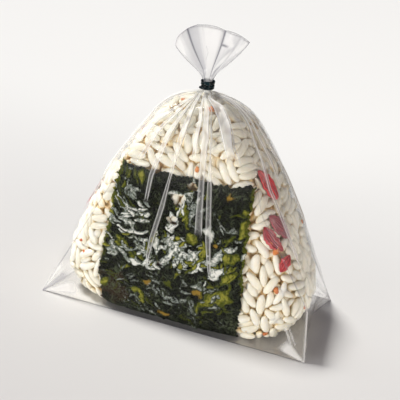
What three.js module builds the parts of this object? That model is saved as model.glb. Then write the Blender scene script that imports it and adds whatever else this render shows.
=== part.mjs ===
// A triangular rice ball with a sheet of nori, packed in a clear square-bottomed
// food bag. The bag stands on its flat bottom, its four corners reach out as
// pointed ears, and its top is gathered into a neck, bound with a wound elastic
// band and left as a pleated fan above it.
//
// Millimetres, +Z up. The origin is the middle of the bag's flat bottom, +X is
// to the right of the face with the nori, and -Y is the way that face looks.

import * as THREE from 'three';

// The bag's bottom, from ear tip to ear tip
const BAG_WIDTH = 92;
const BAG_DEPTH = 40.5;

// The rice ball inside it
const RICE_WIDTH = 84.6;
const RICE_HEIGHT = 73.1;
const RICE_DEPTH = 38.6;
const RICE_FOOT_RADIUS = 12;
const RICE_TOP_RADIUS = 18;
const RICE_SIDE_BULGE = 2;
const RICE_THINNING = 0.32;
const RICE_SQUARENESS = 4;
const RICE_LOWER_EDGE = 5.5;
const RICE_CROWN = 11;

// The sheet of nori, and how far it lifts the film
const NORI_WIDTH = 45;
const NORI_TOP = 51;
const NORI_LIFT = 0.6;

// A cooked grain, and how far grains lift the film
const GRAIN_LENGTH = 8.4;
const GRAIN_WIDTH = 3.2;
const GRAIN_LIFT = 0.8;
const GRAIN_PITCH = 4.6;

// The film: its slack over the rice, the tucked sides and the stiff front corner
const FILM_SLACK = 0.4;
const TUCK_DEPTH = 4.5;
const TUCK_PLACE = 0.6;
const TUCK_HEIGHT = 13;
const STIFF_CORNER = new THREE.Vector3(44.2, -18.2, 17);

// The gathers that run down from the neck, and the long folds on the face
const GATHERS = 16;
const GATHER_DEPTH = 0.8;
const GATHER_REACH = 26;
const LONG_FOLDS = [
  { across: -0.2, foot: 22, lift: 0.7 },
  { across: 0.26, foot: 13, lift: 0.7 },
  { across: 0.62, foot: 56, lift: 0.6 },
];

// The neck and the band round it
const NECK_RADIUS = 1.35;
const NECK_GAP = 0.3;
const BAND_BOTTOM = 74.9;
const BAND_HEIGHT = 2.6;
const BAND_RADIUS = 2.2;
const BAND_TURNS = 3;
const BAND_GROOVE = 0.22;

// The pleated fan above the band
const FAN_LENGTH = 16.5;
const FAN_SKEW = 1.9;
const FAN_SPREAD = THREE.MathUtils.degToRad(46);
const FAN_LEAN = THREE.MathUtils.degToRad(-5.5);
const FAN_OPENING = THREE.MathUtils.degToRad(9);
const FAN_PLEAT = THREE.MathUtils.degToRad(5);
const FAN_PLEATS = 3.5;
const FAN_WALL = THREE.MathUtils.degToRad(2.1);
const FAN_BILLOW = 0.1;
const FAN_MOUTH_DEPTH = 10;

// How finely the faces are cut
const FACE_STEPS = 34;
const SIDE_STEPS = 14;
const RING_STEP = 2;
const RICE_POINTS = 96;

const HALF_WIDTH = BAG_WIDTH / 2;
const HALF_DEPTH = BAG_DEPTH / 2;
const NECK_BASE = BAND_BOTTOM - 0.8;
const FAN_BASE = BAND_BOTTOM + BAND_HEIGHT;

function clamp01(value) {
  return Math.min(Math.max(value, 0), 1);
}

// Half the width of the rice ball at a height: a round foot, a slightly bulged
// side and a round top, each running smoothly into the next.
const sideAcross = RICE_WIDTH / 2 - RICE_FOOT_RADIUS;
const sideUp = RICE_HEIGHT - RICE_TOP_RADIUS - RICE_FOOT_RADIUS;
const sideAngle =
  Math.acos((RICE_TOP_RADIUS - RICE_FOOT_RADIUS) / Math.hypot(sideAcross, sideUp)) -
  Math.atan2(sideUp, sideAcross);
const footEnd = new THREE.Vector2(
  sideAcross + RICE_FOOT_RADIUS * Math.cos(sideAngle),
  RICE_FOOT_RADIUS + RICE_FOOT_RADIUS * Math.sin(sideAngle)
);
const topStart = new THREE.Vector2(
  RICE_TOP_RADIUS * Math.cos(sideAngle),
  RICE_HEIGHT - RICE_TOP_RADIUS + RICE_TOP_RADIUS * Math.sin(sideAngle)
);

function riceHalfWidth(z) {
  if (z < footEnd.y) {
    const below = RICE_FOOT_RADIUS - z;
    return sideAcross + Math.sqrt(Math.max(RICE_FOOT_RADIUS ** 2 - below ** 2, 0));
  }
  if (z > topStart.y) {
    const above = z - (RICE_HEIGHT - RICE_TOP_RADIUS);
    return Math.sqrt(Math.max(RICE_TOP_RADIUS ** 2 - above ** 2, 0));
  }
  const t = (z - footEnd.y) / (topStart.y - footEnd.y);
  return THREE.MathUtils.lerp(footEnd.x, topStart.x, t) + RICE_SIDE_BULGE * 4 * t * (1 - t);
}

// Half its depth: thinner towards the top, rounded along the bottom and the crown.
function riceHalfDepth(z) {
  let depth = (RICE_DEPTH / 2) * (1 - RICE_THINNING * (z / RICE_HEIGHT) ** 2);
  if (z < RICE_LOWER_EDGE) {
    const t = (RICE_LOWER_EDGE - z) / RICE_LOWER_EDGE;
    depth -= 0.6 * RICE_LOWER_EDGE * (1 - Math.sqrt(1 - t * t));
  }
  const crown = (z - (RICE_HEIGHT - RICE_CROWN)) / RICE_CROWN;
  if (crown > 0) {
    depth *= 0.6 * Math.sqrt(Math.max(1 - crown * crown, 0)) + 0.4 * (1 - crown);
  }
  return depth;
}

function riceRing(z) {
  const ring = [];
  const width = riceHalfWidth(z) + FILM_SLACK;
  const depth = riceHalfDepth(z) + FILM_SLACK;
  for (let i = 0; i < RICE_POINTS; i++) {
    const angle = (i / RICE_POINTS) * 2 * Math.PI;
    const c = Math.cos(angle);
    const s = Math.sin(angle);
    const power = 2 / RICE_SQUARENESS;
    const x = width * Math.sign(c) * Math.abs(c) ** power;
    const y = depth * Math.sign(s) * Math.abs(s) ** power;
    ring.push(new THREE.Vector3(x, y, z));
  }
  return ring;
}

// Everything that the film is pulled over: the rice, the ear tips, the stiff
// corner and the neck.
const riceLevels = [];
for (let z = 0; z <= RICE_HEIGHT; z += RICE_HEIGHT / 48) {
  riceLevels.push(riceRing(z));
}
const ears = [
  new THREE.Vector3(-HALF_WIDTH, -HALF_DEPTH, 0),
  new THREE.Vector3(HALF_WIDTH, -HALF_DEPTH, 0),
  new THREE.Vector3(HALF_WIDTH, HALF_DEPTH, 0),
  new THREE.Vector3(-HALF_WIDTH, HALF_DEPTH, 0),
];
const neckRing = [];
for (let i = 0; i < 12; i++) {
  const angle = (i / 12) * 2 * Math.PI;
  neckRing.push(
    new THREE.Vector3(NECK_RADIUS * Math.cos(angle), NECK_RADIUS * Math.sin(angle), NECK_BASE)
  );
}

function crossing(low, high, z) {
  return new THREE.Vector3().lerpVectors(low, high, (z - low.z) / (high.z - low.z));
}

function outline(points) {
  const sorted = [...points].sort((p, q) => p.x - q.x || p.y - q.y);
  const turn = (o, p, q) => (p.x - o.x) * (q.y - o.y) - (p.y - o.y) * (q.x - o.x);
  const half = (list) => {
    const chain = [];
    for (const p of list) {
      while (chain.length > 1 && turn(chain.at(-2), chain.at(-1), p) <= 1e-9) chain.pop();
      chain.push(p);
    }
    return chain.slice(0, -1);
  };
  return [...half(sorted), ...half(sorted.reverse())];
}

// The taut film's outline at one height: round the rice and every straight pull
// between rice, ears, stiff corner and neck that crosses this height.
function tautOutline(z) {
  const points = z <= RICE_HEIGHT ? riceRing(z) : [];
  for (const level of riceLevels) {
    const height = level[0].z;
    if (height > z + 0.01) {
      for (const ear of ears) {
        for (const p of level) points.push(crossing(ear, p, z));
      }
    }
    if (height < z - 0.01) {
      for (let i = 0; i < level.length; i += 4) {
        for (const n of neckRing) points.push(crossing(level[i], n, z));
      }
    }
    if (z > STIFF_CORNER.z && height > z + 0.01) {
      for (const p of level) points.push(crossing(STIFF_CORNER, p, z));
    }
  }
  if (z <= STIFF_CORNER.z) points.push(crossing(ears[1], STIFF_CORNER, z));
  return outline(points);
}

function reach(polygon, direction) {
  let far = 0;
  for (let i = 0; i < polygon.length; i++) {
    const p = polygon[i];
    const q = polygon[(i + 1) % polygon.length];
    const ex = q.x - p.x;
    const ey = q.y - p.y;
    const cross = direction.x * ey - direction.y * ex;
    if (Math.abs(cross) < 1e-12) continue;
    const distance = (p.x * ey - p.y * ex) / cross;
    const along = (p.x * direction.y - p.y * direction.x) / cross;
    if (distance > 0 && along >= -1e-6 && along <= 1 + 1e-6) far = Math.max(far, distance);
  }
  return far;
}

// Grains scattered over the rice ball, for the small bumps that they press
// into the film. The scatter is seeded, so that it is always the same.
function seededRandom(seed) {
  let state = seed;
  return () => {
    state = (Math.imul(state, 1664525) + 1013904223) >>> 0;
    return state / 4294967296;
  };
}

const random = seededRandom(41);
const grains = [];
for (let z = GRAIN_PITCH / 2; z < RICE_HEIGHT - 3; z += GRAIN_PITCH * 0.8) {
  const around = 4 * (riceHalfWidth(z) + riceHalfDepth(z));
  const count = Math.round(around / GRAIN_PITCH / 1.4);
  for (let i = 0; i < count; i++) {
    const angle = ((i + 0.8 * random()) / count) * 2 * Math.PI;
    const ring = riceRing(z + GRAIN_PITCH * (random() - 0.5));
    const centre = ring[Math.floor((angle / 2 / Math.PI) * RICE_POINTS) % RICE_POINTS];
    const tilt = Math.PI * random();
    const round = new THREE.Vector3(-centre.y, centre.x, 0).normalize();
    const axis = round.multiplyScalar(Math.cos(tilt)).add(new THREE.Vector3(0, 0, Math.sin(tilt)));
    grains.push({ centre, axis });
  }
}

function grainLift(point) {
  let lift = 0;
  for (const { centre, axis } of grains) {
    const away = point.clone().sub(centre);
    if (away.lengthSq() > GRAIN_LENGTH ** 2) continue;
    const along = away.dot(axis);
    const beside = Math.sqrt(Math.max(away.lengthSq() - along * along, 0));
    const near = 1 - (along / (GRAIN_LENGTH / 2)) ** 2 - (beside / (GRAIN_WIDTH / 1.4)) ** 2;
    lift = Math.max(lift, near);
  }
  return GRAIN_LIFT * lift;
}

function isOnNori(point) {
  return Math.abs(point.x) < NORI_WIDTH / 2 && point.z < NORI_TOP && Math.abs(point.y) > 8;
}

// One ring of the bag's wall: the four creases first, then the spans between
// them, with the tuck in the sides, the gathers and folds, and the relief.
const SPANS = [FACE_STEPS, SIDE_STEPS, FACE_STEPS, SIDE_STEPS];

function wallRing(z) {
  const polygon = tautOutline(z);
  const corners = ears.map((ear) => {
    const score = (p) => (p.x * Math.sign(ear.x)) / HALF_WIDTH + (p.y * Math.sign(ear.y)) / HALF_DEPTH;
    return polygon.reduce((best, p) => (score(p) > score(best) ? p : best));
  });
  const tuck = TUCK_DEPTH * clamp01(1 - z / TUCK_HEIGHT) ** 1.6;
  const gather = GATHER_DEPTH * clamp01((z - (NECK_BASE - GATHER_REACH)) / GATHER_REACH) ** 1.5;
  const touching = clamp01(z / 8) * clamp01((RICE_HEIGHT - z) / 12);
  const ring = [];
  let index = 0;
  SPANS.forEach((steps, span) => {
    const start = corners[span];
    const end = corners[(span + 1) % 4];
    for (let i = 0; i < steps; i++) {
      const s = i / steps;
      const aim = new THREE.Vector2(
        THREE.MathUtils.lerp(start.x, end.x, s),
        THREE.MathUtils.lerp(start.y, end.y, s)
      ).normalize();
      let radius = reach(polygon, aim);
      if (span % 2 === 1) {
        const valley = span === 1 ? TUCK_PLACE : 1 - TUCK_PLACE;
        radius -= tuck * (s < valley ? s / valley : (1 - s) / (1 - valley));
      }
      const point = new THREE.Vector3(aim.x * radius, aim.y * radius, z);
      const room = Math.min(1, radius / 14);
      radius += room * gather * Math.cos((index / RING_SIZE) * GATHERS * 2 * Math.PI);
      radius += touching * (isOnNori(point) ? NORI_LIFT : grainLift(point));
      if (span === 0) {
        for (const fold of LONG_FOLDS) {
          const near = 1 - Math.abs(2 * s - 1 - fold.across) * (steps / 2);
          if (near > 0 && z > fold.foot) radius += room * fold.lift * near;
        }
      }
      ring.push(new THREE.Vector3(aim.x * radius, aim.y * radius, z));
      index += 1;
    }
  });
  return ring;
}

const RING_SIZE = 2 * (FACE_STEPS + SIDE_STEPS);

// The ring through the band, and the rings of the fan. They run round the same
// way as the wall's, so the first point of each is at the front left.
function neckCircle(z) {
  const ring = [];
  const firstAngle = Math.atan2(-HALF_DEPTH, -HALF_WIDTH / 2);
  for (let i = 0; i < RING_SIZE; i++) {
    const angle = firstAngle + (i / RING_SIZE) * 2 * Math.PI;
    ring.push(
      new THREE.Vector3(NECK_RADIUS * Math.cos(angle), NECK_RADIUS * Math.sin(angle), z)
    );
  }
  return ring;
}

// Across the fan from -1 to 1 and the side it is on, for a place in a ring.
function fanPlace(index) {
  const shifted = (index + SIDE_STEPS / 2) / (RING_SIZE / 2);
  const onFace = shifted < 1 || shifted >= 2;
  const across = onFace ? 2 * (shifted % 2) - 1 : 3 - 2 * shifted;
  return { across, side: onFace ? -1 : 1 };
}

function fanPoint(index, ringLength, wall) {
  const { across, side } = fanPlace(index);
  const length = ringLength * (1 + (FAN_SKEW / FAN_LENGTH) * across);
  const lean = FAN_LEAN + across * (FAN_SPREAD - 2 * wall);
  const ripple = Math.cos(across * FAN_PLEATS * Math.PI + (side > 0 ? 1.1 : 0));
  const end = Math.sqrt(clamp01(1 - across * across));
  const open = side * (end * (FAN_OPENING + FAN_PLEAT * ripple) - (end > 0.2 ? wall : 0));
  const rooted = 1 - clamp01(length / 4);
  const neckAngle = side * Math.acos(clamp01(across * 0.5 + 0.5) * 2 - 1);
  const billow = 1 + FAN_BILLOW * Math.sin((Math.PI * ringLength) / FAN_LENGTH);
  const x = billow * length * Math.sin(lean) + rooted * NECK_RADIUS * Math.cos(neckAngle);
  const y = length * Math.tan(open) + rooted * NECK_RADIUS * Math.sin(neckAngle);
  return new THREE.Vector3(x, y, FAN_BASE + length * Math.cos(lean));
}

function fanRing(length, wall) {
  const ring = [];
  for (let i = 0; i < RING_SIZE; i++) ring.push(fanPoint(i, length, wall));
  return ring;
}

// Rings stacked into one closed skin, with a flat lid at each end.
function closedSkin(rings, lastLid) {
  const vertices = [];
  const faces = [];
  for (const ring of rings) {
    for (const p of ring) vertices.push(p.x, p.y, p.z);
  }
  const size = rings[0].length;
  for (let level = 0; level < rings.length - 1; level++) {
    for (let i = 0; i < size; i++) {
      const a = level * size + i;
      const b = level * size + ((i + 1) % size);
      faces.push(a, b, b + size, a, b + size, a + size);
    }
  }
  const centre = vertices.length / 3;
  vertices.push(0, 0, rings[0][0].z);
  for (let i = 0; i < size; i++) faces.push(centre, (i + 1) % size, i);
  lastLid((rings.length - 1) * size, faces);
  const geometry = new THREE.BufferGeometry();
  geometry.setAttribute('position', new THREE.Float32BufferAttribute(vertices, 3));
  geometry.setIndex(faces);
  return geometry;
}

// The floor of the fan's mouth: strips from each front point to the back point
// straight behind it.
function mouthFloor(first, faces) {
  const half = RING_SIZE / 2;
  const start = RING_SIZE - SIDE_STEPS / 2;
  const front = (i) => first + ((start + i) % RING_SIZE);
  const back = (i) => first + ((start + RING_SIZE - i) % RING_SIZE);
  for (let i = 0; i < half; i++) {
    if (i > 0) faces.push(front(i), front(i + 1), back(i));
    if (i < half - 1) faces.push(front(i + 1), back(i + 1), back(i));
  }
}

function filledBag() {
  const rings = [];
  const levels = Math.round((NECK_BASE - 1) / RING_STEP);
  for (let i = 0; i <= levels; i++) rings.push(wallRing((i * (NECK_BASE - 1)) / levels));
  rings.push(neckCircle(BAND_BOTTOM - 0.2));
  rings.push(neckCircle(FAN_BASE));
  for (const length of [2, 4, 8, 12, FAN_LENGTH]) rings.push(fanRing(length, 0));
  for (const length of [FAN_LENGTH, FAN_LENGTH - FAN_MOUTH_DEPTH]) {
    rings.push(fanRing(length, FAN_WALL));
  }
  const film = new THREE.MeshStandardMaterial({ color: 0xe9e2d0, roughness: 0.3, metalness: 0 });
  const mesh = new THREE.Mesh(closedSkin(rings, mouthFloor), film);
  mesh.name = 'filled_bag';
  return mesh;
}

// The elastic band: turns wound side by side, a little wider at the top.
function neckBand() {
  const inner = NECK_RADIUS + NECK_GAP;
  const profile = [new THREE.Vector2(inner, 0)];
  const steps = 6 * BAND_TURNS;
  for (let i = 0; i <= steps; i++) {
    const t = i / steps;
    const groove = BAND_GROOVE * (1 - Math.abs(Math.sin(t * BAND_TURNS * Math.PI)));
    profile.push(new THREE.Vector2(BAND_RADIUS - groove + 0.15 * t, t * BAND_HEIGHT));
  }
  profile.push(new THREE.Vector2(inner, BAND_HEIGHT));
  profile.push(profile[0].clone());
  const rubber = new THREE.MeshStandardMaterial({ color: 0x141d1b, roughness: 0.35, metalness: 0 });
  const turned = new THREE.LatheGeometry(profile, 28);
  turned.rotateX(Math.PI / 2);
  const mesh = new THREE.Mesh(turned, rubber);
  mesh.position.z = BAND_BOTTOM;
  mesh.name = 'neck_tie';
  return mesh;
}

const onigiri = new THREE.Group();
onigiri.add(filledBag(), neckBand());

export default onigiri;
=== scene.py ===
import math

import bpy
import numpy as np
from mathutils import Matrix, Vector, noise
from mathutils.bvhtree import BVHTree


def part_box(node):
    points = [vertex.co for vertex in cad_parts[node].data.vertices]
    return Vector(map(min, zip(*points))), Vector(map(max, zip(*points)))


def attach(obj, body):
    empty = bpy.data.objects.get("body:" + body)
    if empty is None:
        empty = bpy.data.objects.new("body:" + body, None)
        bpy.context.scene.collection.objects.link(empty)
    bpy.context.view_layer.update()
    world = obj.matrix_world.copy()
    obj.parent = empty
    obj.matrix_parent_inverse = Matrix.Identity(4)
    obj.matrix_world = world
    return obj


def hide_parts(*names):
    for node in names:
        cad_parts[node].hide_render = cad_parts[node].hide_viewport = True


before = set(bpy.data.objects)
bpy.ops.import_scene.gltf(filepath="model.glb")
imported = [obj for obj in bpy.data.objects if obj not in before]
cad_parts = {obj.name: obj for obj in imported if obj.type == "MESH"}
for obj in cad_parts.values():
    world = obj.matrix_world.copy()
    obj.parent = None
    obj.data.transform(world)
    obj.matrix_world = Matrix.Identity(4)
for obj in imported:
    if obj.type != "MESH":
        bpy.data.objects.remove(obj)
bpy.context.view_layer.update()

# The pressed rice ball. Warm cooked rice is pressed by hand into a rounded
# triangle that is thinner towards its top. This piece is the imported inside, seen
# only between the grains that lie over it, and its golden brown is painted shade for the depth there.
mm = 0.001
rice_width = 84.6 * mm
rice_height = 73.1 * mm
rice_depth = 38.6 * mm
foot_radius = 12 * mm
top_radius = 18 * mm
side_bulge = 2 * mm
thinning = 0.32
squareness = 4
lower_edge = 3.4 * mm
edge_draw_in = 0.6
crown = 11 * mm
crown_roundness = 0.6
rice_lift = 0.3 * mm
girth_height = 25 * mm
turn_samples = 2881
skin_columns = 168
edge_rows = 9
wall_rows = 50
crown_rows = 18
core_inset = 2.8 * mm
core_rest = 0.8 * mm
core_lump = 0.5 * mm
core_lump_size = 3 * mm
core_dark = (0.78, 0.54, 0.28, 1)
core_tan = (0.93, 0.76, 0.48, 1)

side_across = rice_width / 2 - foot_radius
side_up = rice_height - top_radius - foot_radius
side_lean = math.acos((top_radius - foot_radius) / math.hypot(side_across, side_up))
side_turn = side_lean - math.atan2(side_up, side_across)
foot_end_x = side_across + foot_radius * math.cos(side_turn)
foot_end_z = foot_radius + foot_radius * math.sin(side_turn)
top_start_x = top_radius * math.cos(side_turn)
top_start_z = rice_height - top_radius + top_radius * math.sin(side_turn)


def half_across(z):
    z = np.asarray(z, float)
    foot = side_across + np.sqrt(np.maximum(foot_radius ** 2 - (foot_radius - z) ** 2, 0))
    above = z - (rice_height - top_radius)
    top = np.sqrt(np.maximum(top_radius ** 2 - above ** 2, 0))
    t = (z - foot_end_z) / (top_start_z - foot_end_z)
    side = foot_end_x + (top_start_x - foot_end_x) * t + side_bulge * 4 * t * (1 - t)
    return np.where(z < foot_end_z, foot, np.where(z > top_start_z, top, side))


def half_deep(z):
    z = np.asarray(z, float)
    deep = rice_depth / 2 * (1 - thinning * (z / rice_height) ** 2)
    t = np.clip((lower_edge - z) / lower_edge, 0, 1)
    deep = deep - edge_draw_in * lower_edge * (1 - np.sqrt(1 - t * t))
    c = np.clip((z - rice_height + crown) / crown, 0, 1)
    closing = crown_roundness * np.sqrt(1 - c * c) + (1 - crown_roundness) * (1 - c)
    return deep * np.where(c > 0, closing, 1)


def rice_skin(turn, z, swell=0.0):
    c = np.cos(turn)
    s = np.sin(turn)
    power = 2 / squareness
    x = (half_across(z) + swell) * np.sign(c) * np.abs(c) ** power
    y = (half_deep(z) + swell) * np.sign(s) * np.abs(s) ** power
    return np.stack([x, y, z + rice_lift + 0 * x], axis=-1)


def even_turns(count):
    fine = np.linspace(0, 2 * np.pi, turn_samples)
    steps = np.linalg.norm(np.diff(rice_skin(fine, girth_height), axis=0), axis=1)
    walked = np.concatenate([[0], np.cumsum(steps)])
    return np.interp(np.linspace(0, walked[-1], count, endpoint=False), walked, fine)


def rounded(start, end, count):
    return start + (end - start) * np.sin(np.linspace(0, np.pi / 2, count))


def grid_faces(rows, columns, closed, first=0):
    down = np.arange(rows - 1)[:, None] * columns
    across = np.arange(columns if closed else columns - 1)[None, :]
    beside = (across + 1) % columns
    a = down + across
    b = down + beside
    return np.stack([a, b, b + columns, a + columns], axis=-1).reshape(-1, 4) + first


def fan_faces(ring, centre):
    return [(ring[i], ring[(i + 1) % len(ring)], centre) for i in range(len(ring))]


skin_turns = even_turns(skin_columns)
skin_rise = np.concatenate([
    lower_edge * (1 - np.cos(np.linspace(0, np.pi / 2, edge_rows))),
    np.linspace(lower_edge, rice_height - crown, wall_rows)[1:-1],
    rounded(rice_height - crown, rice_height - 0.02 * mm, crown_rows),
])
skin_rings = [rice_skin(skin_turns, z) for z in skin_rise]
floor_rings = [skin_rings[0] * (share, share, 1) for share in (0.25, 0.5, 0.75)]
skin_rings = np.array(floor_rings + skin_rings)
ring_count, ring_size = skin_rings.shape[:2]
skin_points = np.concatenate([
    skin_rings.reshape(-1, 3),
    [(0, 0, rice_lift), (0, 0, rice_height + rice_lift)],
])
skin_quads = grid_faces(ring_count, ring_size, True).tolist()
bottom_fan = fan_faces(list(range(ring_size))[::-1], ring_count * ring_size)
last_ring = list(range((ring_count - 1) * ring_size, ring_count * ring_size))
skin_faces = skin_quads + bottom_fan + fan_faces(last_ring, ring_count * ring_size + 1)


def node(tree, kind, inputs=None, **settings):
    made = tree.nodes.new(kind)
    for key, value in settings.items():
        setattr(made, key, value)
    for key, value in (inputs or {}).items():
        if isinstance(value, bpy.types.NodeSocket):
            tree.links.new(value, made.inputs[key])
        else:
            made.inputs[key].default_value = value
    return made


def start_finish(name, **sockets):
    material = bpy.data.materials.new(name)
    material.use_nodes = True
    tree = material.node_tree
    shader = tree.nodes["Principled BSDF"]
    for key, value in sockets.items():
        shader.inputs[key.replace("_", " ")].default_value = value
    place = node(tree, "ShaderNodeTexCoord").outputs["Object"]
    return material, tree, shader, place


def mottle(tree, place, size, detail=3.0, rough=0.55, twist=0.0):
    made = node(tree, "ShaderNodeTexNoise", {
        "Vector": place, "Scale": 1 / size, "Detail": detail, "Roughness": rough,
        "Distortion": twist,
    })
    return made.outputs["Fac"]


def ramp(tree, value, low, high, to_low=0.0, to_high=1.0):
    made = node(tree, "ShaderNodeMapRange", {
        "Value": value, "From Min": low, "From Max": high, "To Min": to_low, "To Max": to_high,
    }, interpolation_type="SMOOTHSTEP")
    return made.outputs["Result"]


def times(tree, a, b, how="MULTIPLY"):
    return node(tree, "ShaderNodeMath", {0: a, 1: b}, operation=how).outputs[0]


def blend_colour(tree, share, a, b):
    return node(tree, "ShaderNodeMix", {0: share, 6: a, 7: b}, data_type="RGBA").outputs[2]


def attribute(tree, name):
    return node(tree, "ShaderNodeAttribute", attribute_name=name).outputs["Fac"]


def bump(tree, shader, height, distance, strength=1.0):
    made = node(tree, "ShaderNodeBump", {
        "Height": height, "Distance": distance, "Strength": strength,
    })
    tree.links.new(made.outputs["Normal"], shader.inputs["Normal"])


def new_piece(name, points, faces, material):
    mesh = bpy.data.meshes.new(name)
    mesh.from_pydata(np.asarray(points).tolist(), [], [tuple(face) for face in faces])
    mesh.materials.append(material)
    mesh.shade_smooth()
    piece = bpy.data.objects.new(name, mesh)
    bpy.context.collection.objects.link(piece)
    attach(piece, "root")
    return piece


def paint(piece, name, values):
    layer = piece.data.attributes.new(name, "FLOAT", "POINT")
    layer.data.foreach_set("value", np.asarray(values, np.float32).ravel())


def point_normals(piece):
    found = np.zeros(3 * len(piece.data.vertices), np.float32)
    piece.data.vertex_normals.foreach_get("vector", found)
    return found.reshape(-1, 3).astype(float)


core_finish, tree, shader, place = start_finish("packed_rice_finish", Roughness=0.6)
# Painted shade: the core's dark and tan golden browns stand for the depth between the grains.
core_shade = ramp(tree, mottle(tree, place, 3.5 * mm), 0.35, 0.65)
tree.links.new(blend_colour(tree, core_shade, core_dark, core_tan), shader.inputs["Base Color"])
bump(tree, shader, mottle(tree, place, 2.2 * mm), 1.2 * mm)
rice_core = new_piece("rice_core", skin_points, skin_faces, core_finish)
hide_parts("filled_bag")
skin_normals = point_normals(rice_core)
core_points = skin_points - skin_normals * core_inset
core_points[:, 2] = np.maximum(core_points[:, 2], core_rest)
for point in core_points:
    lump = noise.noise(Vector(point / core_lump_size))
    point += core_lump * lump * point / np.linalg.norm(point)
rice_core.data.vertices.foreach_set("co", core_points.ravel())
rice_core.data.update()

# The plum shards. Strips torn from a red pickled plum lie on the shoulder of the
# rice ball, pressed flat by the film: fibrous, moist, brighter where thin.
shard_lift = 0.05 * mm
shard_root = 0.35 * mm
shard_jag = 0.28
shard_tip = 0.05 * mm
along_steps = 56
across_steps = 26
shard_deep = (0.30, 0.012, 0.02, 1)
shard_red = (0.80, 0.045, 0.05, 1)
shard_pale = (0.90, 0.30, 0.26, 1)
shard_mauve = (0.36, 0.12, 0.14, 1)
# Each strip runs from start to end, as degrees round the rice ball and height in mm.
# Width, thickness and sideways bend are in mm, and belly is where it is widest
shards = [
    {"name": "plum_shard_upper", "start": (-19.2, 55.0), "end": (-4.2, 45.6), "width": 6.9,
     "thick": 0.85, "dull": 0.0, "belly": 0.62, "bend": 0.25},
    {"name": "plum_shard_middle", "start": (-30, 42.6), "end": (-9.0, 34.0), "width": 5.2,
     "thick": 0.6, "dull": 1.0, "belly": 0.45, "bend": 0.5},
    {"name": "plum_shard_lower", "start": (-43, 39.6), "end": (-26.5, 31.8), "width": 4.2,
     "thick": 0.65, "dull": 0.6, "belly": 0.4, "bend": -0.6},
    {"name": "plum_shard_knot", "start": (-38, 25.8), "end": (-19, 30.2), "width": 3.9,
     "thick": 0.85, "dull": 0.25, "belly": 0.5, "bend": 0.3},
    {"name": "plum_shard_back", "start": (112, 50.0), "end": (133, 43.5), "width": 5.0,
     "thick": 0.8, "dull": 0.2, "belly": 0.55, "bend": 0.3},
    {"name": "plum_shard_left", "start": (160, 31.0), "end": (186, 25.0), "width": 4.4,
     "thick": 0.7, "dull": 0.4, "belly": 0.5, "bend": -0.3},
]


def skin_frame(turn, z):
    here = rice_skin(turn, z)
    round_way = rice_skin(turn + 0.01, z) - rice_skin(turn - 0.01, z)
    up_way = rice_skin(turn, z + 0.2 * mm) - rice_skin(turn, z - 0.2 * mm)
    out = np.cross(round_way, up_way)
    out /= np.linalg.norm(out, axis=-1, keepdims=True)
    return here, out


plum_finish, tree, shader, place = start_finish(
    "pickled_plum_finish", Roughness=0.3, Subsurface_Weight=0.15, Subsurface_Scale=0.8 * mm
)
fibre = attribute(tree, "fibre")
wet_red = blend_colour(tree, ramp(tree, fibre, 0.2, 0.75), shard_deep, shard_red)
# Painted highlight: the palest fibres are mixed towards a pale pink.
wet_red = blend_colour(tree, ramp(tree, fibre, 0.8, 1.0, 0, 0.55), wet_red, shard_pale)
dull_patches = ramp(tree, mottle(tree, place, 2 * mm), 0.3, 0.6, 0.6, 1)
dulled = times(tree, attribute(tree, "dull"), dull_patches)
tree.links.new(blend_colour(tree, dulled, wet_red, shard_mauve), shader.inputs["Base Color"])
bump(tree, shader, fibre, 0.25 * mm, 0.8)

# Each strip is a closed shell: a ridged top along the rice, and a root pressed into
# it. Marks below its middle line keep the grains clear of it
shard_marks = []
mark_step = 8
mark_depth = 0.6
for number, shard in enumerate(shards):
    along = np.linspace(0, 1, along_steps)
    start_point = np.array(shard["start"], float)
    end_point = np.array(shard["end"], float)
    path = start_point + (end_point - start_point) * along[:, None]
    centre, out = skin_frame(np.radians(path[:, 0]), path[:, 1] * mm)
    ahead = np.gradient(centre, axis=0)
    ahead /= np.linalg.norm(ahead, axis=1, keepdims=True)
    aside = np.cross(out, ahead)
    belly = shard["belly"]
    leaf = np.where(along < belly, along / belly, (1 - along) / (1 - belly))
    leaf = np.sin(np.clip(leaf, 0, 1) * np.pi / 2) ** 0.75
    jag = [noise.noise(Vector((t * 9, number * 3.1, 0))) for t in along]
    half_wide = shard["width"] * mm / 2 * leaf * (1 + shard_jag * np.array(jag)) + shard_tip
    sway = shard["bend"] * mm * np.sin(along * np.pi)
    across = np.linspace(-1, 1, across_steps)
    strand = np.array([
        [noise.noise(Vector((t * 1.6, v * 5.5, number * 7.7))) for v in across] for t in along
    ])
    strand = np.clip(0.5 + 0.75 * strand + 0.22 * np.sin(across * 21 + 4 * along[:, None]), 0, 1)
    rim = np.sqrt(np.clip(1 - across ** 2, 0, 1))
    tip = np.sqrt(np.clip(leaf, 0, 1))[:, None]
    thick = shard["thick"] * mm * rim * tip * (0.6 + 0.55 * strand)
    offset = across * half_wide[:, None] + sway[:, None]
    base = centre[:, None] + aside[:, None] * offset[..., None]
    upper = base + out[:, None] * (shard_lift + thick)[..., None]
    lower = base - out[:, None] * (shard_root * rim * tip)[..., None]
    shell = np.concatenate([upper, lower[:, ::-1][:, 1:-1]], axis=1)
    tone = np.concatenate([strand, strand[:, ::-1][:, 1:-1] * 0.4], axis=1)
    loop = shell.shape[1]
    ends = np.array([shell[0].mean(axis=0), shell[-1].mean(axis=0)])
    faces = grid_faces(along_steps, loop, True)[:, ::-1].tolist()
    total = along_steps * loop
    faces += fan_faces(list(range(loop)), total)
    faces += fan_faces(list(range(total - loop, total))[::-1], total + 1)
    points = np.concatenate([shell.reshape(-1, 3), ends])
    piece = new_piece(shard["name"], points, faces, plum_finish)
    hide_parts("filled_bag")
    paint(piece, "fibre", np.concatenate([tone.ravel(), [0.5, 0.5]]))
    paint(piece, "dull", np.full(len(points), shard["dull"]))
    kept = slice(mark_step, -mark_step, mark_step)
    shard_marks.extend(centre[kept] - out[kept] * mark_depth * mm)
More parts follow.
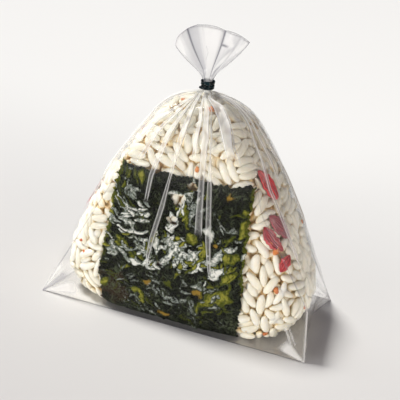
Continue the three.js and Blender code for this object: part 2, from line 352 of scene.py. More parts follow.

# The grains. Short-grain rice swells to plump grains of 7 to 9 mm when it is
# cooked. They lie pressed into one another at every angle, bright and moist on
# the outside. Golden painted shade is put into their colour where they lie deep, in the gaps.
grain_length = 7.5 * mm
grain_width = 2.75 * mm
grain_thick = 2.3 * mm
# Each layer: how many grains, how deep their middles lie in mm and how much that
# varies, the gap in mm at which two grains push each other away, how far they lean
# out of the layer, and how clear in mm they keep of the plum
grain_layers = [
    {"count": 540, "depth": 1.2, "spread": 0.24, "gap": 2.5, "lean": 0.09, "clear": 2.0},
    {"count": 500, "depth": 2.55, "spread": 0.25, "gap": 2.5, "lean": 0.14, "clear": 1.2},
    {"count": 280, "depth": 3.9, "spread": 0.3, "gap": 2.6, "lean": 0.2, "clear": 0.0},
]
least_depth = 0.85
most_depth = 9
settle_rounds = 70
longest_step = 0.8 * mm
most_turn = 0.3
grain_reach = 8.5 * mm
nori_hold = 3.5 * mm
nori_press = 0.35 * mm
foot_press = 0.7 * mm
foot_press_rise = 6.5 * mm
foot_press_margin = 1.4 * mm
foot_rise = 8 * mm
foot_margin = 0.5 * mm
foot_cover = 0.25 * mm
ball_places = np.linspace(-0.36, 0.36, 5)
grain_bow = 0.22 * mm
grain_cream = (0.90, 0.855, 0.71, 1)
grain_white = (0.94, 0.92, 0.83, 1)
grain_gap = (0.94, 0.73, 0.41, 1)
# The nori's side edges as heights and places across in mm, how far it reaches up,
# and its tears as place across, height, width and height of each in mm. The grains
# need them here, as they lie flat and deeper under it, and few are made there
nori_left = [(0, -24.0), (12.6, -26.0), (31.7, -23.6), (51, -21.6)]
nori_right = [(0, 23.0), (15.7, 23.2), (32.5, 22.6), (51, 22.0)]
nori_rise = 51 * mm
nori_back_rise = 47 * mm
nori_tears = [
    (-0.6, 43.9, 2.2, 1.9), (3.6, 49.0, 1.5, 1.0), (-1.7, 36.9, 1.5, 1.2), (-4.6, 21.0, 0.9, 0.6),
]
tear_surround = 6 * mm
grain_rng = np.random.default_rng(20)


def nori_side(edge, z):
    rise, across = zip(*edge)
    return np.interp(z / mm, rise, across) * mm


def varied(count, spread, least, most):
    return np.clip(grain_rng.normal(1, spread, count), least, most)


def under_nori(point, margin=0.0):
    front = point[..., 1] < 0
    top = np.where(front, nori_rise, nori_back_rise)
    inside = point[..., 2] < top - margin
    inside &= point[..., 0] > nori_side(nori_left, point[..., 2]) + margin
    return inside & (point[..., 0] < nori_side(nori_right, point[..., 2]) - margin)


triangles = np.array([
    corner
    for face in skin_faces
    for corner in ([face] if len(face) == 3 else [face[:3], [face[0], face[2], face[3]]])
])
corner_points = skin_points[triangles]
edge_one = corner_points[:, 1] - corner_points[:, 0]
edge_two = corner_points[:, 2] - corner_points[:, 0]
areas = np.linalg.norm(np.cross(edge_one, edge_two), axis=1)
middles = corner_points.mean(axis=1)
hidden = under_nori(middles, 3 * mm)
for x, z, wide, tall in nori_tears:
    near = np.hypot(middles[:, 0] - x * mm, middles[:, 2] - z * mm) < tear_surround
    hidden &= ~(near & (middles[:, 1] < 0))
areas[hidden] = 0
skin_tree = BVHTree.FromPolygons([Vector(point) for point in skin_points], skin_faces)
marks = np.array(shard_marks)
grain_parts = []
# A grain is taken as five balls in a row. Each round puts every grain back at its
# depth and along the skin, then pushes and turns those apart that lie too close
for rule in grain_layers:
    count = rule["count"]
    picked = grain_rng.choice(len(areas), count, p=areas / areas.sum())
    centres = middles[picked]
    axes = grain_rng.normal(0, 1, (count, 3))
    depths = grain_rng.normal(rule["depth"], rule["spread"], count)
    depths = np.clip(depths, least_depth, most_depth) * mm
    lengths = grain_length * varied(count, 0.15, 0.62, 1.28)
    for _ in range(settle_rounds):
        hits = [skin_tree.find_nearest(Vector(centre)) for centre in centres]
        outs = np.array([hit[1] for hit in hits])
        centres = np.array([hit[0] for hit in hits]) - outs * depths[:, None]
        axes -= outs * (axes * outs).sum(axis=1, keepdims=True)
        axes /= np.linalg.norm(axes, axis=1, keepdims=True)
        offsets = ball_places * lengths[:, None]
        balls = centres[:, None] + axes[:, None] * offsets[..., None]
        far = np.linalg.norm(centres[:, None] - centres, axis=2)
        one, two = np.nonzero(np.triu(far < grain_reach, 1))
        apart = balls[one][:, :, None] - balls[two][:, None]
        distance = np.linalg.norm(apart, axis=-1, keepdims=True) + 1e-9
        push = apart * np.clip(rule["gap"] * mm - distance, 0, None) / distance * 0.5
        shift = np.zeros(balls.shape)
        np.add.at(shift, one, push.sum(axis=2))
        np.add.at(shift, two, -push.sum(axis=1))
        apart = balls[:, :, None] - marks
        distance = np.linalg.norm(apart, axis=-1, keepdims=True) + 1e-9
        push = apart * np.clip(rule["clear"] * mm - distance, 0, None) / distance
        shift += push.sum(axis=2) * 0.5
        moved = centres + np.clip(shift.mean(axis=1), -longest_step, longest_step)
        stays = ~under_nori(moved, nori_hold) | (shift.mean(axis=1) ** 2 == 0).all(axis=1)
        centres = np.where(stays[:, None], moved, centres)
        turn = (shift * offsets[..., None]).sum(axis=1) / (offsets ** 2).sum(axis=1)[:, None]
        axes = axes + np.clip(turn, -most_turn, most_turn)
    hits = [skin_tree.find_nearest(Vector(centre)) for centre in centres]
    outs = np.array([hit[1] for hit in hits])
    depths = depths + np.where(under_nori(centres), nori_press, 0)
    at_foot = under_nori(centres, -foot_press_margin) & (centres[:, 2] < foot_press_rise)
    depths = depths + np.where(at_foot, foot_press, 0)
    centres = np.array([hit[0] for hit in hits]) - outs * depths[:, None]
    axes -= outs * (axes * outs).sum(axis=1, keepdims=True)
    axes /= np.linalg.norm(axes, axis=1, keepdims=True)
    axes += outs * grain_rng.normal(0, rule["lean"], count)[:, None]
    axes /= np.linalg.norm(axes, axis=1, keepdims=True)
    grain_parts.append((centres, axes, outs, depths, lengths))
grain_centres, grain_axes, grain_outs, grain_depths, grain_lengths = [
    np.concatenate(part) for part in zip(*grain_parts)
]

# One blunt spindle is the pattern for all, and each grain has its own size, taper
# and bend. Those that stick out under the foot of the nori are pressed in below it
grain_rings = 7
grain_sides = 10
grain_blunt = 2.35
grain_fullness = 0.52
long_place = -np.cos(np.linspace(0, np.pi, grain_rings + 2))[1:-1]
plump = (1 - np.abs(long_place) ** grain_blunt) ** grain_fullness
side_turns = np.arange(grain_sides) / grain_sides * 2 * np.pi
grain_pattern = np.concatenate([
    np.stack([
        np.repeat(long_place, grain_sides),
        (plump[:, None] * np.cos(side_turns)).ravel(),
        (plump[:, None] * np.sin(side_turns)).ravel(),
    ], axis=1),
    [(-1, 0, 0), (1, 0, 0)],
])
pattern_size = len(grain_pattern)
ring_total = grain_rings * grain_sides
pattern_quads = grid_faces(grain_rings, grain_sides, True)
first_ring = list(range(grain_sides))[::-1]
far_ring = list(range(ring_total - grain_sides, ring_total))
pattern_ends = np.array(fan_faces(first_ring, ring_total) + fan_faces(far_ring, ring_total + 1))

count = len(grain_centres)
long_size = grain_lengths / 2
wide_size = grain_width / 2 * varied(count, 0.08, 0.82, 1.16)
thick_size = grain_thick / 2 * varied(count, 0.05, 0.88, 1.1)
taper = grain_rng.normal(0, 0.12, count)
curve = grain_rng.normal(0, 0.4, count) * mm
own = grain_rng.random(count)
axis = grain_axes
out = grain_outs - axis * (grain_outs * axis).sum(axis=1, keepdims=True)
out /= np.linalg.norm(out, axis=1, keepdims=True)
aside = np.cross(out, axis)
shape_x = grain_pattern[:, 0]
fatness = 1 + taper[:, None] * shape_x
move_long = long_size[:, None] * shape_x
move_wide = wide_size[:, None] * grain_pattern[:, 1] * fatness + curve[:, None] * shape_x ** 2
move_out = thick_size[:, None] * grain_pattern[:, 2] * fatness - grain_bow * shape_x ** 2
grain_points = (
    grain_centres[:, None]
    + axis[:, None] * move_long[..., None]
    + aside[:, None] * move_wide[..., None]
    + out[:, None] * move_out[..., None]
)
grain_points[..., 2] = np.maximum(grain_points[..., 2], 0.12 * mm)
near_foot = under_nori(grain_points, -foot_margin) & (grain_points[..., 2] < foot_rise)
for grain, corner in np.argwhere(near_foot):
    point = Vector(grain_points[grain, corner])
    hit, normal = skin_tree.find_nearest(point)[:2]
    standing_out = (point - hit).dot(normal) + foot_cover
    grain_points[grain, corner] = point - normal * max(standing_out, 0)
leaning = (axis * grain_outs).sum(axis=1)[:, None]
below_skin = grain_depths[:, None] - move_out - move_long * leaning
shift = (np.arange(count) * pattern_size)[:, None, None]
grain_faces = (pattern_quads[None] + shift).reshape(-1, 4).tolist()
grain_faces += (pattern_ends[None] + shift).reshape(-1, 3).tolist()

grain_finish, tree, shader, place = start_finish(
    "cooked_rice_finish", Subsurface_Weight=0.42, Subsurface_Scale=1.0 * mm, IOR=1.38,
    Subsurface_Radius=(1.0, 0.9, 0.75),
)
own_shade = attribute(tree, "own")
milky = ramp(tree, mottle(tree, place, 1.6 * mm, 2), 0.3, 0.7)
lit = blend_colour(tree, times(tree, milky, own_shade), grain_cream, grain_white)
# Painted shade: the grains turn golden brown where they lie deeper below the skin, in the gaps between
# them.
depth_shade = ramp(tree, attribute(tree, "depth"), 0.8, 2.5)
warm = blend_colour(tree, depth_shade, lit, grain_gap)
tree.links.new(warm, shader.inputs["Base Color"])
moist = ramp(tree, mottle(tree, place, 5 * mm, 2), 0.35, 0.65, 0.26, 0.46)
tree.links.new(moist, shader.inputs["Roughness"])
bump(tree, shader, mottle(tree, place, 0.7 * mm, 3), 0.08 * mm, 0.6)
rice_grains = new_piece("rice_grains", grain_points.reshape(-1, 3), grain_faces, grain_finish)
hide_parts("filled_bag")
paint(rice_grains, "own", np.repeat(own, pattern_size))
paint(rice_grains, "depth", below_skin.ravel() / mm)

# The flakes. Crumbs of the orange filling and of the plum stick here and there
# between the grains, each one a small torn chip.
flake_orange = (0.72, 0.22, 0.035, 1)
flake_red = (0.50, 0.045, 0.02, 1)
flake_pale = (0.85, 0.48, 0.20, 1)
# Each flake: degrees round the rice ball, height and size in mm, and how red it is
flakes = [
    (-128, 71.3, 1.5, 0.3), (-88, 54.0, 1.9, 0.0), (-79, 70.6, 2.6, 0.15), (-46, 19.9, 2.1, 0.45),
    (-138, 19.9, 1.5, 0.9), (-129, 16.6, 1.2, 0.5), (-48, 3.6, 1.8, 0.4), (-39.5, 35.1, 3.0, 0.1),
    (-35.5, 32.4, 3.2, 0.1), (-12, 12.0, 1.5, 0.5), (14, 33.0, 1.7, 0.2), (58, 46.0, 1.6, 0.7),
    (78, 58.0, 1.9, 0.1), (128, 22.0, 1.7, 0.3), (172, 44.0, 1.6, 0.5), (-160, 36.0, 1.4, 0.2),
]
flake_turns = 12
flake_rings = 7
flake_roughness = 0.55
flake_sink = 0.15

flake_finish, tree, shader, place = start_finish(
    "filling_flake_finish", Roughness=0.38, Subsurface_Weight=0.12, Subsurface_Scale=0.6 * mm
)
flake_tone = blend_colour(tree, attribute(tree, "redness"), flake_orange, flake_red)
flake_light = ramp(tree, mottle(tree, place, 0.7 * mm), 0.3, 0.7, 0, 0.35)
flake_tone = blend_colour(tree, flake_light, flake_tone, flake_pale)
tree.links.new(flake_tone, shader.inputs["Base Color"])
bump(tree, shader, mottle(tree, place, 0.5 * mm), 0.12 * mm)
flake_points = []
flake_faces = []
flake_redness = []
for number, (turn, rise, size, redness) in enumerate(flakes):
    centre, out = skin_frame(np.radians(float(turn)), rise * mm)
    level = np.cross(out, (0.1, 0.3, 0.95))
    level /= np.linalg.norm(level)
    upward = np.cross(out, level)
    tilt = 1.7 * number
    long_way = level * math.cos(tilt) + upward * math.sin(tilt)
    wide_way = np.cross(out, long_way)
    rings = []
    for ring in range(1, flake_rings):
        polar = math.pi * ring / flake_rings
        for k in range(flake_turns):
            round_turn = 2 * math.pi * k / flake_turns
            way = Vector((
                math.sin(polar) * math.cos(round_turn),
                math.sin(polar) * math.sin(round_turn),
                math.cos(polar),
            ))
            rough = 1 + flake_roughness * noise.noise(way * 1.6 + Vector((number * 5.3, 0, 0)))
            rings.append(np.array(way) * rough)
    rings.append(np.array((0, 0, 1.0)))
    rings.append(np.array((0, 0, -1.0)))
    local = np.array(rings) * (size / 2 * mm, size / 2.9 * mm, size / 4.5 * mm)
    place_in = centre - out * flake_sink * mm
    world = place_in + local @ np.array([long_way, wide_way, out])
    first = len(flake_points)
    body = (flake_rings - 1) * flake_turns
    flake_points.extend(world)
    flake_faces += (grid_faces(flake_rings - 1, flake_turns, True)[:, ::-1] + first).tolist()
    top_ring = [first + k for k in range(flake_turns)]
    low_ring = [first + body - flake_turns + k for k in range(flake_turns)][::-1]
    flake_faces += fan_faces(top_ring, first + body)
    flake_faces += fan_faces(low_ring, first + body + 1)
    flake_redness += [redness] * len(world)
filling_flakes = new_piece("filling_flakes", flake_points, flake_faces, flake_finish)
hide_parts("filled_bag")
paint(filling_flakes, "redness", flake_redness)

# The nori. A strip cut from a sheet of dried seaweed is wrapped from the face
# under the rice ball and up its back. The moist rice has made it cling, crinkle
# and fray: it shines where it lies over a grain, and it has torn in places. The shine is
# the gloss of its finish and white and grey painted highlight in its colour.
nori_lift = 0.3 * mm
nori_columns = 124
nori_rows = 340
nori_front_rows = 196
nori_thick = 0.14 * mm
nori_fray = 0.9 * mm
nori_black = (0.0010, 0.0016, 0.0008, 1)
nori_green = (0.014, 0.020, 0.002, 1)
nori_olive = (0.070, 0.085, 0.006, 1)
nori_leaf = (0.34, 0.33, 0.045, 1)
nori_ochre = (0.36, 0.22, 0.03, 1)
nori_brown = (0.030, 0.017, 0.008, 1)
# Dim, grey and white make the painted highlight on the folds; the dim colour also draws fine fibres.
nori_dim = (0.105, 0.130, 0.070, 1)
nori_grey = (0.32, 0.36, 0.33, 1)
nori_bright = (0.90, 0.90, 0.84, 1)
# Painted highlights on creases of the face, white and grey in the nori's colour: where
# each starts and ends, as places across and heights in mm, its width in mm and how bright it is
pale_creases = [
    (-17.2, 35.5, -9.2, 37.2, 2.2, 1.0), (-13.4, 33.2, -10.2, 34.0, 2.3, 0.8),
    (-19.5, 33.7, -14.0, 31.9, 1.9, 0.7), (-19.9, 30.2, -11.2, 30.2, 1.8, 1.0),
    (-23.7, 32.7, -19.3, 31.7, 1.6, 0.55), (-23.3, 25.2, -20.4, 19.9, 2.2, 0.55),
    (-20.4, 21.7, -14.4, 18.7, 2.0, 0.6), (-14.7, 19.9, -10.2, 18.9, 1.9, 1.0),
    (-6.5, 20.9, -3.8, 19.2, 2.3, 1.0), (-6.9, 28.4, -5.1, 24.9, 2.2, 0.8),
    (-3.4, 28.9, 3.6, 25.7, 3.2, 0.8), (5.0, 27.4, 9.2, 21.4, 3.3, 0.9),
    (12.6, 19.9, 16.4, 25.7, 2.7, 1.0), (12.7, 26.9, 19.9, 32.2, 2.0, 0.75),
    (9.3, 37.0, 12.1, 33.7, 2.4, 0.85), (-2.7, 45.2, 2.8, 42.0, 3.2, 0.8),
    (2.4, 50.0, 5.0, 48.5, 2.4, 0.8), (3.1, 37.0, 5.6, 42.7, 3.3, 0.45),
    (-4.0, 10.7, 4.0, 9.9, 3.8, 0.4), (5.6, 16.4, 12.5, 16.2, 2.1, 0.45),
    (-14.2, 26.4, -9.7, 23.7, 3.3, 0.5), (-11.6, 42.5, -8.7, 41.0, 1.4, 0.5),
    (-18.5, 46.7, -14.2, 41.7, 2.2, 0.45), (-3.1, 37.5, 0.0, 36.0, 2.4, 0.9),
]
# Where smaller folds crowd together on the face: middle, reach across and up, the
# way they run in degrees, their number, how pale they are, and the share that is green.
# Pale folds are painted highlight, green ones the sheet's own olive
fold_areas = [
    (-16.5, 36.0, 5.5, 5.0, -16, 31, 1.0, 0.15), (-18.5, 45.0, 4.0, 4.5, -62, 23, 0.65, 0.5),
    (-17.0, 24.5, 6.0, 4.5, -28, 29, 0.9, 0.3), (-8.0, 25.0, 4.0, 5.0, 60, 26, 0.85, 0.5),
    (0.0, 27.5, 5.0, 6.0, 66, 38, 1.0, 0.4), (8.5, 26.0, 6.0, 6.0, 42, 40, 1.0, 0.45),
    (17.0, 29.0, 4.0, 7.0, 72, 27, 0.75, 0.7), (3.0, 43.0, 3.4, 6.5, 76, 27, 0.95, 0.35),
    (-2.0, 11.0, 9.0, 4.5, -24, 40, 0.4, 0.25), (14.5, 13.5, 5.0, 4.5, 22, 27, 0.6, 0.8),
    (-18.0, 11.0, 6.0, 5.0, 18, 22, 0.38, 0.3), (14.0, 38.5, 5.5, 5.5, -50, 17, 0.42, 0.35),
    (-12.0, 6.0, 6.0, 3.0, -38, 18, 0.36, 0.35), (7.0, 5.0, 8.0, 3.0, -20, 20, 0.4, 0.4),
    (-9.0, 42.0, 3.0, 6.0, 80, 8, 0.3, 0.5),
]
# Green, ochre and brown patches: where each starts and ends, and its width in mm
olive_stains = [
    (-24.6, 47.0, -23.3, 35.5, 3.8), (-12.7, 49.7, -12.6, 47.7, 2.7), (-16.5, 25.2, -16.4, 23.4, 2.2),
    (-14.9, 22.2, -13.6, 20.7, 2.2), (8.9, 30.7, 9.4, 26.2, 4.4), (16.7, 27.9, 20.1, 29.4, 4.4),
    (11.4, 11.9, 18.6, 15.2, 4.9), (17.0, 19.9, 20.0, 21.9, 3.8), (19.2, 35.7, 21.0, 40.0, 2.7),
    (4.6, 34.0, 4.8, 30.7, 3.3), (-25.7, 8.2, -23.4, 8.9, 2.2), (-12.6, 9.9, -8.7, 6.2, 2.2),
    (19.7, 44.0, 20.4, 43.0, 2.2), (-18.0, 16.4, -14.6, 17.2, 1.6),
]
ochre_stains = [
    (14.2, 48.5, 15.7, 48.5, 2.7), (6.9, 13.7, 9.8, 14.4, 3.8), (-3.7, 3.7, 0.0, 4.5, 3.3),
    (12.9, 31.7, 14.1, 31.4, 2.7), (-9.8, 13.2, -8.0, 13.4, 2.2),
]
brown_stains = [
    (-23.8, 6.5, -16.1, 7.2, 8.0), (-20.4, 12.2, -17.0, 11.9, 5.0), (-26.0, 12.2, -23.9, 11.7, 4.0),
]
fold_scatter = 0.65
fold_turn = 26
fold_half_length = (0.7, 2.3)
fold_width = (0.8, 1.9)
fold_strength = (0.45, 1.1)
green_edge = 1.7
nori_face = 46
front_steps = 160
turn_steps = 30
under_steps = 40
nori_rng = np.random.default_rng(8)
# The vector noise below is drawn from a seed too, so that every run crinkles alike
noise.seed_set(2)


def stroke_field(points, strokes, side, sharp=1.0):
    field = np.zeros(points.shape[:-1])
    facing = points[..., 1] * side > 0
    px = points[..., 0] / mm
    pz = points[..., 2] / mm
    for x0, z0, x1, z1, wide, strength in strokes:
        run = np.array((x1 - x0, z1 - z0))
        length = max(np.hypot(*run), 0.01)
        along = np.clip(((px - x0) * run[0] + (pz - z0) * run[1]) / length ** 2, 0, 1)
        off = np.hypot(px - x0 - along * run[0], pz - z0 - along * run[1])
        room = wide / 2 * (0.55 + 0.45 * np.sin(along * np.pi))
        field = np.maximum(field, strength * np.clip(1 - off / room, 0, 1) ** sharp * facing)
    return field


# The sheet follows the rice down the face, under it and up the back, column by
# column, with its rows spread evenly along the way
sheet = np.zeros((nori_rows, nori_columns, 3))
column_share = np.linspace(0, 1, nori_columns)
for column, share in enumerate(column_share):
    rise = np.concatenate([
        np.linspace(nori_rise, lower_edge, front_steps),
        lower_edge * np.cos(np.linspace(0, np.pi / 2, turn_steps))[1:],
    ])
    left = nori_side(nori_left, rise)
    right = nori_side(nori_right, rise)
    across = left + (right - left) * share
    ragged = noise.noise(Vector((share * 45, 1.7, 0)))
    ragged += 0.6 * noise.noise(Vector((share * 17, 5.1, 0)))
    rise_front = rise + (rise / nori_rise) * nori_fray * 1.1 * ragged
    room = 1 - (np.abs(across) / half_across(rise_front)) ** squareness
    front = half_deep(rise_front) * np.maximum(room, 0) ** (1 / squareness)
    facing_side = np.stack([across, -front, rise_front + rice_lift], axis=1)
    back_rise = rise * nori_back_rise / nori_rise
    left = nori_side(nori_left, back_rise)
    right = nori_side(nori_right, back_rise)
    across_back = left * (1 - share) + right * share
    room = 1 - (np.abs(across_back) / half_across(back_rise)) ** squareness
    back = half_deep(back_rise) * np.maximum(room, 0) ** (1 / squareness)
    back_side = np.stack([across_back, back, back_rise + rice_lift], axis=1)
    steps = np.linspace(0, 1, under_steps)[1:-1, None]
    underside = facing_side[-1] + (back_side[-1] - facing_side[-1]) * steps
    strip = np.concatenate([facing_side, underside, back_side[::-1]])
    walked = np.concatenate([[0], np.cumsum(np.linalg.norm(np.diff(strip, axis=0), axis=1))])
    face_end = walked[len(facing_side) - 1]
    stops = np.concatenate([
        np.linspace(0, face_end, nori_front_rows)[:-1],
        np.linspace(face_end, walked[-1], nori_rows - nori_front_rows + 1),
    ])
    for k in range(3):
        sheet[:, column, k] = np.interp(stops, walked, strip[:, k])

down_way = np.gradient(sheet, axis=0)
across_way = np.gradient(sheet, axis=1)
sheet_out = np.cross(down_way, across_way)
sheet_out /= np.linalg.norm(sheet_out, axis=-1, keepdims=True)
if sheet_out[10, nori_columns // 2, 1] > 0:
    sheet_out = -sheet_out

# The crumple lifts the sheet unevenly, and bends the folds that are laid on it
crumple = np.zeros(sheet.shape[:2])
bent = sheet.copy()
for row in range(nori_rows):
    for column in range(nori_columns):
        at = sheet[row, column] / mm
        broad = noise.noise_vector(Vector(at / 5.5))
        fine = noise.noise_vector(Vector(at / 1.9) + Vector((7, 3, 1)))
        tiny = noise.noise(Vector(at / 0.9) + Vector((1, 9, 4)))
        crumple[row, column] = 0.14 * broad[1] + 0.16 * (0.4 - abs(fine[1])) + 0.10 * tiny
        bent[row, column, 0] += (2.2 * broad[0] + 0.9 * fine[0]) * mm
        bent[row, column, 2] += (2.2 * broad[2] + 0.9 * fine[2]) * mm
# Folds are laid one over another, as they lie on the real sheet: each hides those
# below it. The back has the same ones mirrored. Pale folds are painted highlight, green ones olive colour
pale = np.zeros(sheet.shape[:2])
olive = np.zeros(sheet.shape[:2])
ochre = np.zeros(sheet.shape[:2])
brown = np.zeros(sheet.shape[:2])
raised = np.zeros(sheet.shape[:2])
for side, flip in ((1, -1), (-1, 1)):
    for field, stains in ((ochre, ochre_stains), (brown, brown_stains)):
        strokes = [(x0 * flip, z0, x1 * flip, z1, 1.4 * wide, 1.0) for x0, z0, x1, z1, wide in stains]
        np.maximum(field, stroke_field(bent, strokes, side, 0.6), out=field)
    under = []
    over = []
    for x, z, reach_x, reach_z, lean, number, paleness, green_share in fold_areas:
        for _ in range(number):
            middle_x = (x + nori_rng.normal(0, fold_scatter) * reach_x) * flip
            middle_z = z + nori_rng.normal(0, fold_scatter) * reach_z
            run = math.radians((lean + nori_rng.normal(0, fold_turn)) * flip)
            half = nori_rng.uniform(*fold_half_length)
            ends = (
                middle_x - half * math.cos(run), middle_z - half * math.sin(run),
                middle_x + half * math.cos(run), middle_z + half * math.sin(run),
            )
            strength = paleness * nori_rng.uniform(*fold_strength)
            wide = nori_rng.uniform(*fold_width)
            fold = (*ends, wide, strength, nori_rng.random() < green_share)
            layer = over if nori_rng.random() < 0.5 else under
            layer.append(fold)
    for x0, z0, x1, z1, wide in olive_stains:
        under.append((x0 * flip, z0, x1 * flip, z1, 1.2 * wide, 0.8, True))
    for x0, z0, x1, z1, wide, strength in pale_creases:
        under.append((x0 * flip, z0, x1 * flip, z1, 1.05 * wide, strength, False))
    for *ends, wide, strength, is_green in under + over:
        profile = stroke_field(bent, [(*ends, wide, 1.0)], side, 0.5)
        inside = profile > 0
        pale[inside] = 0 if is_green else strength * profile[inside]
        olive[inside] = strength * profile[inside] if is_green else 0
        raised[inside] = 0.08 + (0.30 + 0.2 * strength) * profile[inside]

edge_gap = (0.5 - np.abs(column_share - 0.5))[None] * nori_face
edge_green = np.clip(0.8 - edge_gap / green_edge + 4.5 * crumple, 0, 1)
edge_green = edge_green * np.clip((sheet[..., 2] / mm - 12) / 12, 0, 1)
olive = np.maximum(olive, 0.55 * edge_green * (pale < 0.3))
edge_share = np.abs(column_share - 0.5) * 2
left_half = edge_share * (column_share < 0.5)
right_half = edge_share * (column_share > 0.5)
for row in range(nori_rows):
    for edge, near in ((0, left_half), (-1, right_half)):
        spot = Vector((row * 0.31, edge * 9.0, 2.0))
        ragged = noise.noise(spot) + 0.8 * noise.noise(spot * 0.37)
        outward = sheet[row, edge] - sheet[row, nori_columns // 2]
        outward /= np.linalg.norm(outward)
        push = np.clip((near - 0.86) / 0.14, 0, 1) ** 1.5
        sheet[row] += outward * (nori_fray * ragged * push)[:, None]
lift = np.clip(0.6 * nori_lift / mm + 1.3 * crumple + raised, 0.03, 0.85) * mm
sheet = sheet + sheet_out * lift[..., None]
sheet[..., 2] = np.maximum(sheet[..., 2], 0.08 * mm)

torn = np.zeros(sheet.shape[:2], bool)
for x, z, wide, tall in nori_tears:
    off_x = (sheet[..., 0] / mm - x) / wide
    off_z = (sheet[..., 2] / mm - z) / tall
    ragged = 1 + 0.45 * np.sin(3 * np.arctan2(off_z, off_x) + x) + 2 * crumple
    torn |= (off_x ** 2 + off_z ** 2 < ragged) & (sheet[..., 1] < 0)
quads = grid_faces(nori_rows, nori_columns, False)
nori_faces = quads[~torn.ravel()[quads].any(axis=1)]
used, packed = np.unique(nori_faces, return_inverse=True)
nori_points = sheet.reshape(-1, 3)[used]
nori_faces = packed.reshape(-1, 4)[:, ::-1]

nori_finish, tree, shader, place = start_finish("nori_finish", IOR=1.17)
grainy = mottle(tree, place, 1.1 * mm, 5, 0.7)
patchy = mottle(tree, place, 4.5 * mm, 4, 0.6, 1.2)
streaky = mottle(tree, place, 1.3 * mm, 5, 0.68, 2.0)
curl = mottle(tree, place, 3.6 * mm, 3, 0.5, 2.4)
curl_off = times(tree, times(tree, curl, 0.5, "SUBTRACT"), 0, "ABSOLUTE")
strand = ramp(tree, curl_off, 0.0, 0.05, 1.0, 0.0)
dark = blend_colour(tree, ramp(tree, grainy, 0.45, 0.72), nori_black, nori_green)
umber_mask = times(tree, times(tree, attribute(tree, "brown"), 0.5), patchy, "ADD")
dark = blend_colour(tree, ramp(tree, umber_mask, 0.62, 0.95), dark, nori_brown)
strand_share = times(tree, strand, ramp(tree, patchy, 0.42, 0.62, 0.1, 0.85))
dark = blend_colour(tree, strand_share, dark, nori_dim)
rough_edge = times(tree, times(tree, streaky, 0.5, "SUBTRACT"), 0.7)
olive_mask = times(tree, attribute(tree, "olive"), rough_edge, "ADD")
inner = times(tree, times(tree, grainy, 0.5, "SUBTRACT"), 1.7)
leaf_light = ramp(tree, times(tree, olive_mask, inner, "ADD"), 0.40, 0.92)
leaf_tone = blend_colour(tree, leaf_light, nori_olive, nori_leaf)
green = blend_colour(tree, ramp(tree, olive_mask, 0.16, 0.34), dark, leaf_tone)
ochre_mask = times(tree, times(tree, attribute(tree, "ochre"), 0.6), grainy, "ADD")
gold = blend_colour(tree, ramp(tree, ochre_mask, 0.78, 1.05, 0, 0.9), green, nori_ochre)
# Painted highlight: where the pale folds lie, the nori turns grey and then white.
broken = ramp(tree, mottle(tree, place, 2.0 * mm, 3, 0.6, 1.6), 0.34, 0.60, 0.58, 1.12)
pale_mask = times(tree, times(tree, attribute(tree, "pale"), broken), rough_edge, "ADD")
grey_tone = blend_colour(tree, ramp(tree, streaky, 0.40, 0.58), nori_dim, nori_grey)
greyed = blend_colour(tree, ramp(tree, pale_mask, 0.14, 0.40), gold, grey_tone)
bright_share = ramp(tree, times(tree, pale_mask, inner, "ADD"), 0.34, 0.86)
tree.links.new(blend_colour(tree, bright_share, greyed, nori_bright), shader.inputs["Base Color"])
gloss = ramp(tree, patchy, 0.35, 0.65, 0.22, 0.5)
tree.links.new(gloss, shader.inputs["Roughness"])
relief = times(tree, times(tree, strand, 0.4), times(tree, streaky, grainy, "ADD"), "ADD")
bump(tree, shader, relief, 0.4 * mm, 0.8)
nori_sheet = new_piece("nori_sheet", nori_points, nori_faces.tolist(), nori_finish)
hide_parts("filled_bag")
for name, field in (("pale", pale), ("olive", olive), ("ochre", ochre), ("brown", brown)):
    paint(nori_sheet, name, field.ravel()[used])
thickness = nori_sheet.modifiers.new("thickness", "SOLIDIFY")
thickness.thickness = nori_thick
thickness.offset = -1

# The bag. Thin clear food film is pulled tight over the rice ball from its
# square bottom, whose four corners stand out as folded ears, and is gathered
# into pleats that run down from the neck. Its sides are tucked in at the bottom.
bag_high = np.array(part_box("filled_bag")[1])
tie_low, tie_high = [np.array(corner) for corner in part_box("neck_tie")]
ear_across = bag_high[0]
ear_deep = 20.25 * mm
ears = np.array([(-1, -1, 0), (1, -1, 0), (1, 1, 0), (-1, 1, 0)]) * (ear_across, ear_deep, 0)
# At the front right the folded corner of the film stands up stiffly to this point
stiff_corner = np.array((44.2, -18.2, 17)) * mm
film_slack = 0.95 * mm
crease_shift = (44, 14)
low_rows = 42
low_reach = 16 * mm
high_rows = 156
film_rows = low_rows + high_rows
neck_radius = 1.35 * mm
neck_base = tie_low[2] - 0.7 * mm
tuck_depth = 5.2 * mm
tuck_height = 14 * mm
tuck_place = 0.62
film_white = (0.99, 0.99, 0.98, 1)
film_shade = (0.42, 0.42, 0.46, 1)
film_line = (0.13, 0.13, 0.16, 1)
shape_rows = 50
shape_columns = 120
aim_count = 720

pull_turns = even_turns(shape_columns)
pull_rise = rice_height * np.linspace(0, 1, shape_rows) ** 0.9
pull_rise[-1] -= 0.05 * mm
pull_cloud = np.array([rice_skin(pull_turns, z, film_slack) for z in pull_rise])
facing = np.arange(aim_count) / aim_count * 2 * np.pi
facing = np.stack([np.cos(facing), np.sin(facing)], axis=1)


